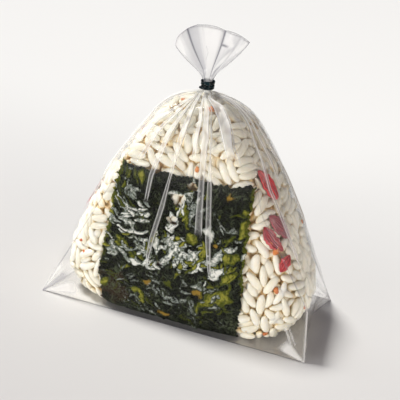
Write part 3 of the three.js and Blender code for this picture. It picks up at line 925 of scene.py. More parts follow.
# Taut film runs straight between the things that it is stretched over. At a height,
# these are the points where straight lines from the ears, the stiff corner, the rice
# and the neck pass, and film_reach gives the hull round them
def pulled_points(z):
    found = []
    if z < rice_height + rice_lift - 0.1 * mm:
        found.append(rice_skin(pull_turns, max(z - rice_lift, 0.0), film_slack)[:, :2])
    heights = pull_cloud[:, 0, 2]
    upper = pull_cloud[heights > z + 0.01 * mm].reshape(-1, 3)
    for ear in ears:
        near = upper[(upper[:, 0] * ear[0] > 0) & (upper[:, 1] * ear[1] > 0)]
        share = (z / near[:, 2])[:, None]
        found.append(ear[:2] + (near[:, :2] - ear[:2]) * share)
        found.append(ear[None, :2] * max(1 - z / mm, 0))
    lower = pull_cloud[heights < z - 0.01 * mm].reshape(-1, 3)
    if len(lower):
        inward = lower[:, :2] / np.linalg.norm(lower[:, :2], axis=1, keepdims=True) * neck_radius
        share = ((z - lower[:, 2]) / (neck_base - lower[:, 2]))[:, None]
        found.append(lower[:, :2] + (inward - lower[:, :2]) * share)
    if z <= stiff_corner[2]:
        share = z / stiff_corner[2]
        found.append((ears[1] + (stiff_corner - ears[1]) * share)[None, :2])
    else:
        near = upper[(upper[:, 0] > 0) & (upper[:, 1] < 0)]
        share = ((z - stiff_corner[2]) / (near[:, 2] - stiff_corner[2]))[:, None]
        found.append(stiff_corner[:2] + (near[:, :2] - stiff_corner[:2]) * np.clip(share, 0, 1))
    return np.concatenate(found)


def film_reach(points, aims):
    turn = np.arctan2(points[:, 1], points[:, 0]) / (2 * np.pi) % 1
    order = np.argsort(np.hypot(points[:, 0], points[:, 1]))
    bins = 2 * aim_count
    outermost = np.full(bins, -1)
    outermost[(turn[order] * bins).astype(int)] = order
    kept = points[outermost[outermost >= 0]]
    support = (kept @ facing.T).max(axis=0)
    lean = aims @ facing.T
    return np.where(lean > 0.03, support / np.maximum(lean, 0.03), 1.0).min(axis=1)


# The corner creases climb from the ears to the neck, and part the film into the
# front, right, back and left walls
film_heights = np.concatenate([
    np.linspace(0, low_reach, low_rows, endpoint=False),
    low_reach + (neck_base - low_reach) * (1 - (1 - np.linspace(0, 1, high_rows)) ** 1.45),
])
film_heights[1] = 0.18 * mm
film_clouds = [pulled_points(z) for z in film_heights]
creases = np.zeros((film_rows, 4, 2))
shift_start, shift_rise = crease_shift
for row, cloud in enumerate(film_clouds):
    up = np.clip((film_heights[row] / mm - shift_start) / shift_rise, 0, 1)
    for corner, ear in enumerate(ears):
        pull_across = ear[0] / ear_across ** 2 * (1 + 2 * up)
        pull_deep = ear[1] / ear_deep ** 2 * (1 - 0.5 * up)
        creases[row, corner] = cloud[(cloud @ np.array((pull_across, pull_deep))).argmax()]
smooth_reach = 9
window = np.hanning(2 * smooth_reach + 1)
window /= window.sum()
padded = np.pad(creases, ((smooth_reach, smooth_reach), (0, 0), (0, 0)), mode="edge")
softened = np.array([
    (padded[row:row + 2 * smooth_reach + 1] * window[:, None, None]).sum(axis=0)
    for row in range(film_rows)
])
soft_share = np.clip((film_heights - 34 * mm) / (12 * mm), 0, 1)[:, None, None]
creases = creases * (1 - soft_share) + softened * soft_share

# Each pleat is a narrow raised strip: its left and right edge as heights and
# places across in mm, the height where it fades out, its rise and its cloudiness.
# The cloudiness is a milky veil, partly the film's own haze and partly painted reflection
front_pleats = [
    {"left": [(52, -22), (66, -12), (73, -2.7)], "right": [(52, -20.6), (66, -10.6), (73, -2.4)],
     "foot": 57, "tall": 0.4, "haze": 0.25},
    {"left": [(50, -17), (64, -10.2), (73, -2.4)], "right": [(50, -15.6), (64, -9.0), (73, -2.1)],
     "foot": 53, "tall": 0.4, "haze": 0.3},
    {"left": [(40, -11.4), (50, -10.5), (64, -6.6), (73, -2.1)],
     "right": [(40, -10.6), (50, -9.3), (64, -5.2), (73, -1.9)], "foot": 40, "tall": 0.4, "haze": 0.3},
    {"left": [(16, -9.7), (30, -8.2), (41, -5.9), (50, -4.1), (63, -2.4), (70, -1.9), (73, -1.6)],
     "right": [(16, -9.3), (30, -6.9), (41, -4.6), (50, -3.5), (64, -0.9), (70, -0.9), (73, -1.0)],
     "foot": 17, "tall": 0.75, "haze": 0.3},
    {"left": [(50, 2.6), (58, 2.5), (62, 2.6), (68, 1.8), (73, 0.0)],
     "right": [(50, 3.4), (58, 3.4), (62, 3.5), (68, 2.8), (73, 0.3)],
     "foot": 57, "tall": 0.6, "haze": 0.35},
    {"left": [(35, 6.3), (50, 5.8), (60, 5.2), (64, 4.9), (67, 3.6), (70.5, 2.3), (73, 0.5)],
     "right": [(35, 8.4), (50, 7.3), (60, 6.9), (64, 6.6), (67, 5.3), (70.5, 3.9), (73, 0.9)],
     "foot": 33, "tall": 0.7, "haze": 0.28},
    {"left": [(20, 12.4), (36, 9.6), (50, 8.3), (60, 7.5), (64, 7.1), (67, 5.8), (70.5, 4.3), (73, 1.1)],
     "right": [(20, 12.9), (36, 11.2), (50, 9.8), (60, 8.1), (64, 7.5), (67, 6.2), (70.5, 4.6), (73, 1.2)],
     "foot": 20, "tall": 0.7, "haze": 0.25},
    {"left": [(60, 13.2), (62.9, 11.6), (64.6, 10.6), (68.9, 7.6), (71, 5.2), (73, 1.6)],
     "right": [(60, 16.8), (62.9, 15.2), (67, 12.0), (70, 8.9), (71.7, 6.8), (73, 2.3)],
     "foot": 58, "tall": 0.9, "haze": 0.42},
    {"left": [(52, 22.5), (66, 14.0), (73, 2.6)], "right": [(52, 23.5), (66, 15.2), (73, 2.9)],
     "foot": 57, "tall": 0.5, "haze": 0.2},
]
right_pleats = [
    {"left": [(16, -13), (50, -10), (73, -0.8)], "right": [(16, -12.2), (50, -9), (73, -0.6)],
     "foot": 26, "tall": 0.6, "haze": 0.2},
    {"left": [(16, -2), (50, -1.4), (73, -0.2)], "right": [(16, -1), (50, 0), (73, 0.1)],
     "foot": 48, "tall": 0.6, "haze": 0.2},
    {"left": [(16, 7), (50, 6.2), (73, 0.5)], "right": [(16, 8), (50, 7.4), (73, 0.8)],
     "foot": 30, "tall": 0.6, "haze": 0.2},
]
back_pleats = [
    {"left": [(40, -21), (64, -12.6), (73, -2.4)], "right": [(40, -20), (64, -11.4), (73, -2.1)],
     "foot": 50, "tall": 0.5, "haze": 0.3},
    {"left": [(24, -17), (50, -10.4), (73, -1.7)], "right": [(24, -16.4), (50, -9), (73, -1.4)],
     "foot": 26, "tall": 0.7, "haze": 0.45},
    {"left": [(40, -6), (60, -4.6), (73, -0.9)], "right": [(40, -4), (60, -2.8), (73, -0.6)],
     "foot": 46, "tall": 0.6, "haze": 0.5},
    {"left": [(14, 1), (50, 0.2), (73, -0.2)], "right": [(14, 1.6), (50, 1.8), (73, 0.1)],
     "foot": 16, "tall": 0.7, "haze": 0.5},
    {"left": [(34, 6.6), (50, 5.4), (73, 0.4)], "right": [(34, 8), (50, 7), (73, 0.7)],
     "foot": 37, "tall": 0.6, "haze": 0.4},
    {"left": [(26, 15), (50, 10.8), (73, 1.1)], "right": [(26, 15.6), (50, 12.6), (73, 1.5)],
     "foot": 28, "tall": 0.7, "haze": 0.45},
    {"left": [(40, 21), (64, 12.6), (73, 2.1)], "right": [(40, 22), (64, 14), (73, 2.4)],
     "foot": 52, "tall": 0.5, "haze": 0.3},
]
left_pleats = [
    {"left": [(16, -9), (50, -7.4), (73, -0.8)], "right": [(16, -8), (50, -6.4), (73, -0.6)],
     "foot": 34, "tall": 0.6, "haze": 0.2},
    {"left": [(16, -1), (50, 0), (73, -0.1)], "right": [(16, 0), (50, 1.2), (73, 0.2)],
     "foot": 50, "tall": 0.6, "haze": 0.2},
    {"left": [(16, 9), (50, 7.4), (73, 0.5)], "right": [(16, 10), (50, 8.4), (73, 0.8)],
     "foot": 40, "tall": 0.6, "haze": 0.2},
]
# Across a pleat's strip and the film beside it: how high each part stands, how much
# of the painted highlight on its edge line, the cloudiness and the painted shade of the dark valley it has
strip_rise = [0, 0.3, 1, 0.8, 0.65, 0.8, 1, 0.3, 0]
strip_line = [0, 0.25, 1, 0.25, 0, 0.25, 1, 0.25, 0]
strip_cloud = [0, 0, 1, 1, 1, 1, 1, 0, 0]
strip_valley = [0, 1, 0, 0, 0, 0, 0, 1, 0]
side_run = np.array([0, 0.2, 0.5, 0.9, 1.4, 2.0, 2.7, 3.5, 4.4, 5.4, 6.6, 8.0]) * mm
face_run = np.concatenate([[0, 0.15, 0.35], np.arange(0.6, 13.5, 0.45)]) * mm
face_fill = 3
side_fill = 4
span_fine = 400
corner_share = (0.2, 0.05)
corner_share_heights = (20, 44)
valley_width = 0.3 * mm
edge_width = 0.13 * mm
pleat_fade = 7
whiter_start = 52


def even_fill(start, end, count):
    steps = np.arange(1, count + 1) / (count + 1)
    return [start + (end - start) * step for step in steps]


# The places of the columns of one wall, row by row, from one corner crease to the
# next: close together at the corners and at each pleat, with a few between them
def lay_span(pleats, low, high, fill, corner_run):
    columns = []
    marks = []
    width = high - low
    share = np.interp(film_heights / mm, corner_share_heights, corner_share)
    reach = np.minimum(1, share * width / corner_run[-1])
    for offset in corner_run:
        columns.append(low + offset * reach)
        marks.append((-1, 0))
    run_end = columns[-1]
    edges = []
    for pleat in pleats:
        sides = []
        for key in ("left", "right"):
            rise, across = zip(*pleat[key])
            sides.append(np.interp(film_heights / mm, rise, across) * mm)
        edges.append(sides)
    last_stop = high - corner_run[-1] * reach
    for k, (left, right) in enumerate(edges):
        floor_at = run_end + 0.02 * width
        ceiling = last_stop - 0.02 * width * (len(pleats) - k)
        left = np.clip(left, floor_at, ceiling - 0.008 * width)
        right = np.clip(right, left + 0.006 * width, ceiling)
        broad = right - left
        near = np.minimum(edge_width, 0.22 * broad)
        left_room = np.minimum(valley_width, 0.45 * (left - run_end))
        following = edges[k + 1][0] if k + 1 < len(edges) else last_stop
        right_room = np.maximum(following - right, 0.01 * width)
        right_room = np.minimum(valley_width, 0.4 * right_room)
        stops = [
            left - left_room, left - 0.4 * left_room, left, left + near, (left + right) / 2,
            right - near, right, right + 0.4 * right_room, right + right_room,
        ]
        for filler in even_fill(run_end, stops[0], fill):
            columns.append(filler)
            marks.append((-1, 0))
        for part, stop in enumerate(stops):
            columns.append(stop)
            marks.append((k, part))
        run_end = stops[-1]
    for filler in even_fill(run_end, last_stop, fill):
        columns.append(filler)
        marks.append((-1, 0))
    for offset in corner_run[:0:-1]:
        columns.append(high - offset * reach)
        marks.append((-1, 0))
    return np.array(columns).T, marks


span_plans = [
    (front_pleats, face_fill, face_run), (right_pleats, side_fill, side_run),
    (back_pleats, face_fill, side_run), (left_pleats, side_fill, side_run),
]
film_parts = []
share_parts = []
ridge_parts = []
line_parts = []
valley_parts = []
cloud_parts = []
corner_off_parts = []
span_of = []
for span, (pleats, fill, corner_run) in enumerate(span_plans):
    start = creases[:, span]
    end = creases[:, (span + 1) % 4]
    shares = np.linspace(0, 1, span_fine)[None, :, None]
    aims = start[:, None] * (1 - shares) + end[:, None] * shares
    aims /= np.linalg.norm(aims, axis=-1, keepdims=True)
    reach = np.array([film_reach(film_clouds[row], aims[row]) for row in range(film_rows)])
    outline = aims * reach[..., None]
    lead = span % 2
    sign = 1 if span < 2 else -1
    walked = outline[..., lead] * sign
    walked = np.maximum.accumulate(walked + np.arange(span_fine) * 1e-9, axis=1)
    across, marks = lay_span(pleats, walked[:, 0], walked[:, -1], fill, corner_run)
    part = np.zeros(across.shape + (3,))
    for row in range(film_rows):
        part[row, :, lead] = across[row] * sign
        part[row, :, 1 - lead] = np.interp(across[row], walked[row], outline[row, :, 1 - lead])
    part[..., 2] = film_heights[:, None]
    film_parts.append(part)
    share_parts.append((across - across[:, :1]) / (across[:, -1:] - across[:, :1] + 1e-9))
    ridge = np.zeros(across.shape)
    line = np.zeros(across.shape)
    cloud = np.zeros(across.shape)
    dip = np.zeros(across.shape)
    for column, (k, strip) in enumerate(marks):
        if k < 0:
            continue
        pleat = pleats[k]
        grown = np.clip((film_heights / mm - pleat["foot"]) / pleat_fade, 0, 1)
        grown = grown * grown * (3 - 2 * grown)
        ridge[:, column] = pleat["tall"] * strip_rise[strip] * grown
        line[:, column] = strip_line[strip] * np.minimum(1, grown * 2.5)
        dip[:, column] = strip_valley[strip] * grown
        whiter = 0.8 + 0.9 * np.clip((film_heights / mm - whiter_start) / 6, 0, 1)
        cloud[:, column] = strip_cloud[strip] * whiter * pleat["haze"] * np.minimum(1, grown * 1.6)
    ridge_parts.append(ridge)
    line_parts.append(line)
    valley_parts.append(dip)
    cloud_parts.append(cloud)
    nearest_end = np.minimum(across - across[:, :1], walked[:, -1:] - across)
    corner_off_parts.append(nearest_end)
    span_of += [span] * across.shape[1]
film = np.concatenate(film_parts, axis=1)
span_shares = np.concatenate(share_parts, axis=1)
ridges = np.concatenate(ridge_parts, axis=1)
lines = np.concatenate(line_parts, axis=1)
valleys = np.concatenate(valley_parts, axis=1)
clouds = np.concatenate(cloud_parts, axis=1)
corner_off = np.concatenate(corner_off_parts, axis=1)
span_of = np.array(span_of)
film_columns = film.shape[1]
radii = np.hypot(film[..., 0], film[..., 1])
tuck = tuck_depth * np.clip(1 - film_heights / tuck_height, 0, 1) ** 1.5
for span, valley in ((1, tuck_place), (3, 1 - tuck_place)):
    on_side = span_of == span
    share = span_shares[:, on_side]
    vee = np.where(share < valley, share / valley, (1 - share) / (1 - valley))
    side_sign = 1 if span == 1 else -1
    film[:, on_side, 0] -= side_sign * tuck[:, None] * vee

round_way = np.roll(film, -1, axis=1) - np.roll(film, 1, axis=1)
up_way = np.gradient(film, axis=0)
film_out = np.cross(round_way, up_way)
film_out /= np.linalg.norm(film_out, axis=-1, keepdims=True) + 1e-12
near_neck = np.clip((radii - neck_radius) / (6 * mm), 0, 1)
ripple = np.zeros(radii.shape)
for row in range(film_rows):
    for column in range(film_columns):
        at = film[row, column] / mm
        ripple[row, column] = noise.noise(Vector((at[0] / 5, at[1] / 5, at[2] / 14)))
loose = np.clip(film_heights / (5 * mm), 0, 1)[:, None] * np.clip(radii / (14 * mm), 0, 1)
film += film_out * (ridges * mm * near_neck + 0.16 * mm * ripple * loose)[..., None]

# Folds spread from each ear's tip over the walls beside it, widening on the way. The
# white ones are painted highlight and the shaded ones painted shadow. A fold is given by
# where it ends, as distance in from the tip and height in mm, its width there and how strong it is
ear_whites = {
    0: [(13.6, 5.2, 7.0, 1.0), (7.2, 13.2, 2.4, 1.0)],
    1: [(8.2, 4.8, 6.2, 1.2)],
    2: [(7.0, 6.0, 1.6, 0.6), (9.0, 2.6, 1.4, 0.6)],
    3: [(8.0, 8.6, 1.8, 0.7), (10.0, 4.0, 1.6, 0.6)],
}
ear_shades = {
    0: [(10.6, 10.6, 4.8, 1.2), (13.0, 2.6, 1.0, 0.5)],
    1: [],
    2: [(8, 9, 3, 0.6)],
    3: [(8, 11, 3, 0.6)],
}
side_whites = [(5.0, 7.5, 1.4, 0.6), (7.0, 3.4, 1.2, 0.5)]
# Two painted highlight streaks beside the stiff corner, and painted grey shade on half of the widest
# pleat: where each starts and ends, as places across and heights in mm, its width and its strength
corner_streaks = [(41.4, 4.4, 38.4, 10.2, 0.9, 0.85), (42.4, 5.0, 39.6, 10.2, 0.8, 0.65)]
pleat_shade = [(5.0, 72.2, 11.2, 67.2, 2.4, 1.0), (11.2, 67.2, 15.6, 61.6, 2.8, 1.0)]


def spread_field(along, up, folds):
    field = np.zeros(along.shape)
    for end_along, end_up, wide, strength in folds:
        length = math.hypot(end_along, end_up)
        t = (along / mm * end_along + up / mm * end_up) / length ** 2
        off = np.abs(along / mm * end_up - up / mm * end_along) / length
        room = np.maximum(wide / 2 * t, 0.02) + 0.12
        shape = np.clip(1.8 * (1 - off / room), 0, 1) * np.clip(3.5 * (1 - t), 0, 1) * (t > 0)
        field = np.maximum(field, strength * shape)
    return field


white_marks = np.zeros(radii.shape)
shade_marks = np.zeros(radii.shape)
for corner, ear in enumerate(ears):
    along_face = np.abs(film[..., 0] - ear[0])
    along_side = np.abs(film[..., 1] - ear[1])
    beside = (span_of == corner) | (span_of == (corner - 1) % 4)
    on_face = beside & (span_of % 2 == 0)
    on_side = beside & (span_of % 2 == 1)
    height = film[..., 2]
    face_white = spread_field(along_face, height, ear_whites[corner]) * on_face
    face_shade = spread_field(along_face, height, ear_shades[corner]) * on_face
    side_white = spread_field(along_side, height, side_whites) * on_side
    white_marks = np.maximum(np.maximum(white_marks, face_white), side_white)
    shade_marks = np.maximum(shade_marks, face_shade)
white_marks = np.maximum(white_marks, stroke_field(film, corner_streaks, -1, 0.6))
on_pleat = clouds > 0.3
pleat_grey = 0.75 * stroke_field(film, pleat_shade, -1, 0.5) * on_pleat
shade_marks = np.maximum(shade_marks, pleat_grey)
film += film_out * (white_marks * 0.3 * mm)[..., None]
film[..., 2] = np.maximum(film[..., 2], 0)
film[0, :, 2] = 0

# How much each part of the film shows of painted highlight as pale fold lines, painted
# shade as thin dark crease lines, milky veil that is partly the film's own haze and partly
# painted reflection, and painted grey shade. The wall behind the left ear stays dull and clear
streak_width = 0.45 * mm
streak_end = 21 * mm
crease_width = 0.16 * mm
gather_start = 60 * mm
veil_start = 46 * mm
side_veil_start = 8 * mm
folded_rise = 3.4 * mm
flat_rise = 30 * mm
# Painted highlights: pale lines along the pleat edges, the ear folds and the stiff corner.
fold_marks = lines * np.clip(near_neck * 2, 0.35, 1)
fold_marks = np.maximum(fold_marks, np.clip(white_marks, 0, 1))
beside_stiff = ((span_of == 0) & (span_shares > 0.5)) | ((span_of == 1) & (span_shares < 0.5))
# Painted highlight: a pale streak down the stiff corner's crease.
stiff_streak = np.exp(-(corner_off / streak_width) ** 2) * beside_stiff
stiff_streak *= np.clip((streak_end - film_heights) / (5 * mm), 0.06, 1)[:, None]
fold_marks = np.maximum(fold_marks, 0.95 * stiff_streak)
# Painted shade: thin dark lines along the corner creases, the bottom edge and the pleat valleys near the
# neck.
crease_marks = np.exp(-(corner_off / crease_width) ** 2) * 0.6
crease_marks *= (1 - stiff_streak) * np.clip(1.2 - film_heights / (60 * mm), 0.2, 1)[:, None]
crease_marks[0] = 0.85
near_gather = np.clip((film_heights - gather_start) / (8 * mm), 0, 1)[:, None]
crease_marks = np.maximum(crease_marks, valleys * 0.3 * near_gather)
# The milky veil is partly the film's own haze and partly painted reflection.
veil_marks = clouds + 0.16 * np.clip((film_heights - veil_start) / (22 * mm), 0, 1)[:, None]
side_veil = np.clip((film_heights - side_veil_start) / (10 * mm), 0, 1)[:, None]
veil_marks[:, span_of == 1] += 0.10 * side_veil
veil_marks = np.maximum(veil_marks, 0.7 * shade_marks)
# Painted shade: the film folded up at the foot of the right wall is marked milky and grey.
folded_up = (span_of == 1) & (span_shares > tuck_place) & (film_heights < folded_rise)[:, None]
veil_marks = np.where(folded_up, 0.75, veil_marks)
shade_marks = np.where(folded_up, 0.55, shade_marks)
flat_wall = (span_of == 3) & (film_heights < flat_rise)[:, None]
# The edge-on line of painted shade is kept faint on the flat left wall.
outline_marks = np.where(flat_wall, 0.15, 1.0)
dull_marks = np.where(flat_wall, 1.0, 0.0)
veil_marks = np.where(flat_wall, 0.0, veil_marks)
crease_marks[0] = np.where(span_of == 3, 0.3, crease_marks[0])

# The flat bottom closes the film below, and its neck runs up into the band
bottom_shares = (0.985, 0.75, 0.4)
bottom_rings = [film[0] * (share, share, 1) for share in bottom_shares]
neck_ring = film[-1] * (0.96, 0.96, 1)
neck_ring[:, 2] = (tie_low[2] + tie_high[2]) / 2
film_rings = np.concatenate([np.array(bottom_rings[::-1]), film, neck_ring[None]])
film_total = film_rings.shape[0] * film_columns
bag_points = [film_rings.reshape(-1, 3), np.array([(0, 0, 0)])]
bag_faces = grid_faces(film_rings.shape[0], film_columns, True).tolist()
bag_faces += fan_faces(list(range(film_columns))[::-1], film_total)
bag_marks = {}
for name, marks, under in (
    ("outline", outline_marks, 0.0), ("fold", fold_marks, 0.0), ("crease", crease_marks, 0.0),
    ("veil", veil_marks, 0.0), ("grey", shade_marks, 0.0), ("matte", dull_marks, 1.0),
):
    extra = np.full((len(bottom_shares), film_columns), under)
    rows = np.concatenate([extra, marks, marks[-1:]])
    bag_marks[name] = [rows.ravel(), [under]]

# The fan is the bag's mouth, which stands open above the band in two layers of flat
# pleated panels. Places across it run from -1 at its left edge to 1 at its right one.
# Its length in mm is given at some of them, and the depth of each panel in degrees
fan_base = tie_high[2] - 0.3 * mm
fan_reach = [
    (-1, 14.6), (-0.93, 15.3), (-0.74, 16.3), (-0.474, 17.1), (-0.25, 17.4), (-0.07, 17.2),
    (0.41, 16.8), (1, 18.4),
]
fan_spread = math.radians(46)
fan_lean = math.radians(-5.5)
fan_opening = math.radians(1.0)
fan_billow = 0.10
fan_rows = 34
fan_half = 130
front_creases = [(-1, 0), (-0.474, 4.5), (0.43, 5.5), (0.80, 3.6), (1, 2.4)]
back_creases = [(-1, 0), (-0.66, 1.2), (-0.12, 1.4), (0.34, 1.2), (1, 1.4)]


def panel_bulge(across, folds):
    bulge = np.zeros(across.shape)
    valley = np.zeros(across.shape)
    for (start, _), (end, depth) in zip(folds, folds[1:]):
        inside = (across >= start) & (across <= end)
        t = (across - start) / (end - start)
        tent = 1 - np.abs(2 * np.clip(t, 0, 1) - 1) ** 1.5
        bulge = np.where(inside, math.radians(depth) * tent, bulge)
        nearest = np.minimum(np.abs(across - start), np.abs(across - end))
        valley = np.where(inside, np.exp(-(nearest / 0.026) ** 2), valley)
    return bulge, valley


fan_across = -np.cos(np.linspace(0, np.pi, fan_half + 1))
for folds in (front_creases, back_creases):
    for place_across, _ in folds[1:-1]:
        nearest = np.abs(fan_across - place_across).argmin()
        fan_across[nearest] = place_across
fan_loop = np.concatenate([fan_across[:-1], fan_across[:0:-1]])
fan_side = np.concatenate([-np.ones(fan_half), np.ones(fan_half)])
front_bulge, front_valley = panel_bulge(fan_loop, front_creases)
back_bulge, back_valley = panel_bulge(fan_loop, back_creases)
panel = np.where(fan_side < 0, front_bulge, back_bulge)
valley = np.where(fan_side < 0, front_valley, back_valley)
fan_end = np.sqrt(np.clip(1 - fan_loop ** 2, 0, 1)) ** 0.5
fan_rings = []
reach_places, reach_lengths = zip(*fan_reach)
fan_lengths = np.interp(fan_loop, reach_places, reach_lengths) * mm
for share in np.linspace(0, 1, fan_rows) ** 1.3:
    length = share * fan_lengths
    lean = fan_lean + fan_loop * fan_spread
    opened = fan_side * fan_end * (fan_opening + panel * (0.35 + 0.65 * share))
    rooted = 1 - np.clip(length / (4 * mm), 0, 1)
    neck_turn = fan_side * np.arccos(fan_loop)
    billow = 1 + fan_billow * math.sin(math.pi * share)
    x = billow * length * np.sin(lean) + rooted * neck_radius * np.cos(neck_turn)
    y = length * np.tan(opened) + rooted * neck_radius * np.sin(neck_turn)
    z = fan_base + length * np.cos(lean)
    fan_rings.append(np.stack([x, y, z], axis=1))
root_ring = fan_rings[0].copy()
root_ring[:, 2] = (tie_low[2] + tie_high[2]) / 2
fan_rings = np.array([root_ring] + fan_rings)
first = film_total + 1
fan_size = fan_rings.shape[0] * len(fan_loop)
bag_points.append(fan_rings.reshape(-1, 3))
bag_faces += grid_faces(fan_rings.shape[0], len(fan_loop), True, first).tolist()
rim_share = np.concatenate([[0], np.linspace(0, 1, fan_rows)])[:, None]
faint = np.where(fan_side < 0, np.where(fan_loop > 0.6, 0.3, 1.0), 0.3)
side_edge = np.exp(-((1 - np.abs(fan_loop)) / 0.012) ** 2)
# Painted shade: dark lines along the fan's creases, its side edges and its rim.
fan_crease = np.maximum(valley * faint, side_edge)[None] * np.ones_like(rim_share)
fan_crease = np.maximum(fan_crease, np.where(rim_share > 0.985, 0.5, 0))
# How much painted grey shade the panels have across the fan, near the band and near the mouth
fan_greys = [
    (-1, 0.6, 0.4), (-0.97, 0.3, 0.0), (-0.9, 0.5, 0.0), (-0.8, 0.8, 0.0), (-0.5, 0.8, 0.6),
    (-0.47, 1.0, 0.9), (-0.44, 1.0, 0.8), (-0.2, 0.8, 0.6), (-0.1, 0.1, 0.05), (0.33, 0.1, 0.0),
    (0.42, 0.7, 0.5), (0.45, 0.2, 0.0), (0.6, 0.7, 0.0), (0.7, 0.9, 0.5), (0.78, 0.6, 0.6),
    (0.81, 0.2, 0.0), (0.9, 0.7, 0.3), (1, 0.5, 0.4),
]
grey_across, grey_low, grey_high = zip(*fan_greys)
low_tone = np.interp(fan_loop, grey_across, grey_low)[None]
high_tone = np.interp(fan_loop, grey_across, grey_high)[None]
fan_grey = low_tone + (high_tone - low_tone) * np.clip(2.2 * rim_share - 0.9, 0, 1)
# Small creases in the panels as painted dark lines, and painted highlights beside
# them, as places across and up the fan in tenths
small_dark = [
    (4.6, 7.9, 6.6, 7.8, 0.28, 1.0), (7.0, 2.0, 7.9, 4.3, 0.5, 0.95), (7.4, 1.4, 8.4, 3.2, 0.4, 0.7),
    (-0.9, 4.6, 0.5, 6.0, 0.25, 0.45), (0.5, 6.0, -0.2, 7.4, 0.25, 0.45), (-9.2, 3.0, -9.0, 7.0, 0.3, 0.5),
]
small_light = [
    (9.8, 9.4, 5.4, 2.6, 1.8, 1.0), (-7.6, 9.6, -8.8, 7.4, 2.0, 1.0), (5.6, 8.6, 7.2, 8.2, 1.6, 0.8),
]
fan_flat = np.stack(np.broadcast_arrays(
    fan_loop[None] * 10 * mm, fan_side[None], rim_share * 10 * mm,
), axis=-1)
fan_crease = np.maximum(fan_crease, stroke_field(fan_flat, small_dark, -1, 0.6))
fan_grey *= 1 - np.clip(1.5 * stroke_field(fan_flat, small_light, -1, 0.7), 0, 1)
# The fan's milky veil is partly its own haze and partly painted reflection.
fan_veil = np.where(fan_side < 0, 0.95, 0.3)[None] * (0.8 + 0.2 * rim_share)
bag_marks["outline"].append(np.ones(fan_size))
bag_marks["fold"].append(np.zeros(fan_size))
bag_marks["crease"].append(fan_crease.ravel())
bag_marks["veil"].append(fan_veil.ravel())
bag_marks["grey"].append(np.clip(fan_grey, 0, 1).ravel())
bag_marks["matte"].append(np.zeros(fan_size))

film_finish, tree, shader, place = start_finish("clear_film_finish")
tree.nodes.remove(shader)
output = tree.nodes["Material Output"]
clear = node(tree, "ShaderNodeBsdfTransparent", {"Color": (0.99, 0.99, 0.99, 1)})
mirror = node(tree, "ShaderNodeBsdfAnisotropic", {"Color": (1, 1, 1, 1), "Roughness": 0.09})
ruffle = node(tree, "ShaderNodeBump", {
    "Height": mottle(tree, place, 3.5 * mm, 2), "Distance": 0.25 * mm, "Strength": 0.5,
})
tree.links.new(ruffle.outputs["Normal"], mirror.inputs["Normal"])
fresnel = node(tree, "ShaderNodeFresnel", {"IOR": 1.23, "Normal": ruffle.outputs["Normal"]})
unlit = times(tree, 1.0, times(tree, attribute(tree, "matte"), 0.9), "SUBTRACT")
shine = times(tree, times(tree, fresnel.outputs["Fac"], unlit), 0.7, "MINIMUM")
glass = node(tree, "ShaderNodeMixShader", {
    0: shine, 1: clear.outputs["BSDF"], 2: mirror.outputs["BSDF"],
})
edge_on = node(tree, "ShaderNodeLayerWeight", {"Blend": 0.25}).outputs["Facing"]
# Painted shade: the milky film turns grey where the grey marks are.
milk_tone = blend_colour(tree, attribute(tree, "grey"), film_white, film_shade)
milk = node(tree, "ShaderNodeBsdfDiffuse", {"Color": milk_tone})
glow = node(tree, "ShaderNodeBsdfTranslucent", {"Color": milk_tone})
cloudy = node(tree, "ShaderNodeMixShader", {0: 0.35, 1: milk.outputs["BSDF"], 2: glow.outputs["BSDF"]})
# Painted reflection: the veil mixes in milk, partly the film's own haze and partly painted reflection.
veil_share = times(tree, attribute(tree, "veil"), 0.6)
# Painted highlight: the pale fold lines mix in white milk.
fold_share = times(tree, attribute(tree, "fold"), 0.75)
cloud_share = times(tree, veil_share, fold_share, "ADD")
milky_film = node(tree, "ShaderNodeMixShader", {
    0: cloud_share, 1: glass.outputs["Shader"], 2: cloudy.outputs["Shader"],
})
# Painted shade: the dark lines are a grey mixed into the film along its marked creases.
grey = node(tree, "ShaderNodeBsdfDiffuse", {"Color": film_line})
line_share = times(tree, attribute(tree, "crease"), 0.88)
# Painted shade: a dark grey line where the film is seen edge-on.
rim_line = times(tree, times(tree, ramp(tree, edge_on, 0.89, 0.94), 0.75), attribute(tree, "outline"))
line_share = times(tree, line_share, rim_line, "MAXIMUM")
lined = node(tree, "ShaderNodeMixShader", {
    0: line_share, 1: milky_film.outputs["Shader"], 2: grey.outputs["BSDF"],
})
tree.links.new(lined.outputs["Shader"], output.inputs["Surface"])
bag_film = new_piece("bag_film", np.concatenate(bag_points), bag_faces, film_finish)
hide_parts("filled_bag")
for name, parts in bag_marks.items():
    paint(bag_film, name, np.concatenate([np.ravel(part) for part in parts]))

# The band. A thin dark elastic is wound tightly round the gathered neck, turn
# beside turn, with its last turn tucked under and its end left standing out.
band_turns = 3.6
band_tube = 0.37 * mm
band_steps = 260
band_sides = 12
tail_share = 0.06
tail_stand = 0.55 * mm
tail_drop = 0.12 * mm
band_black = (0.002, 0.006, 0.007, 1)
band_sheen = (0.002, 0.018, 0.023, 1)

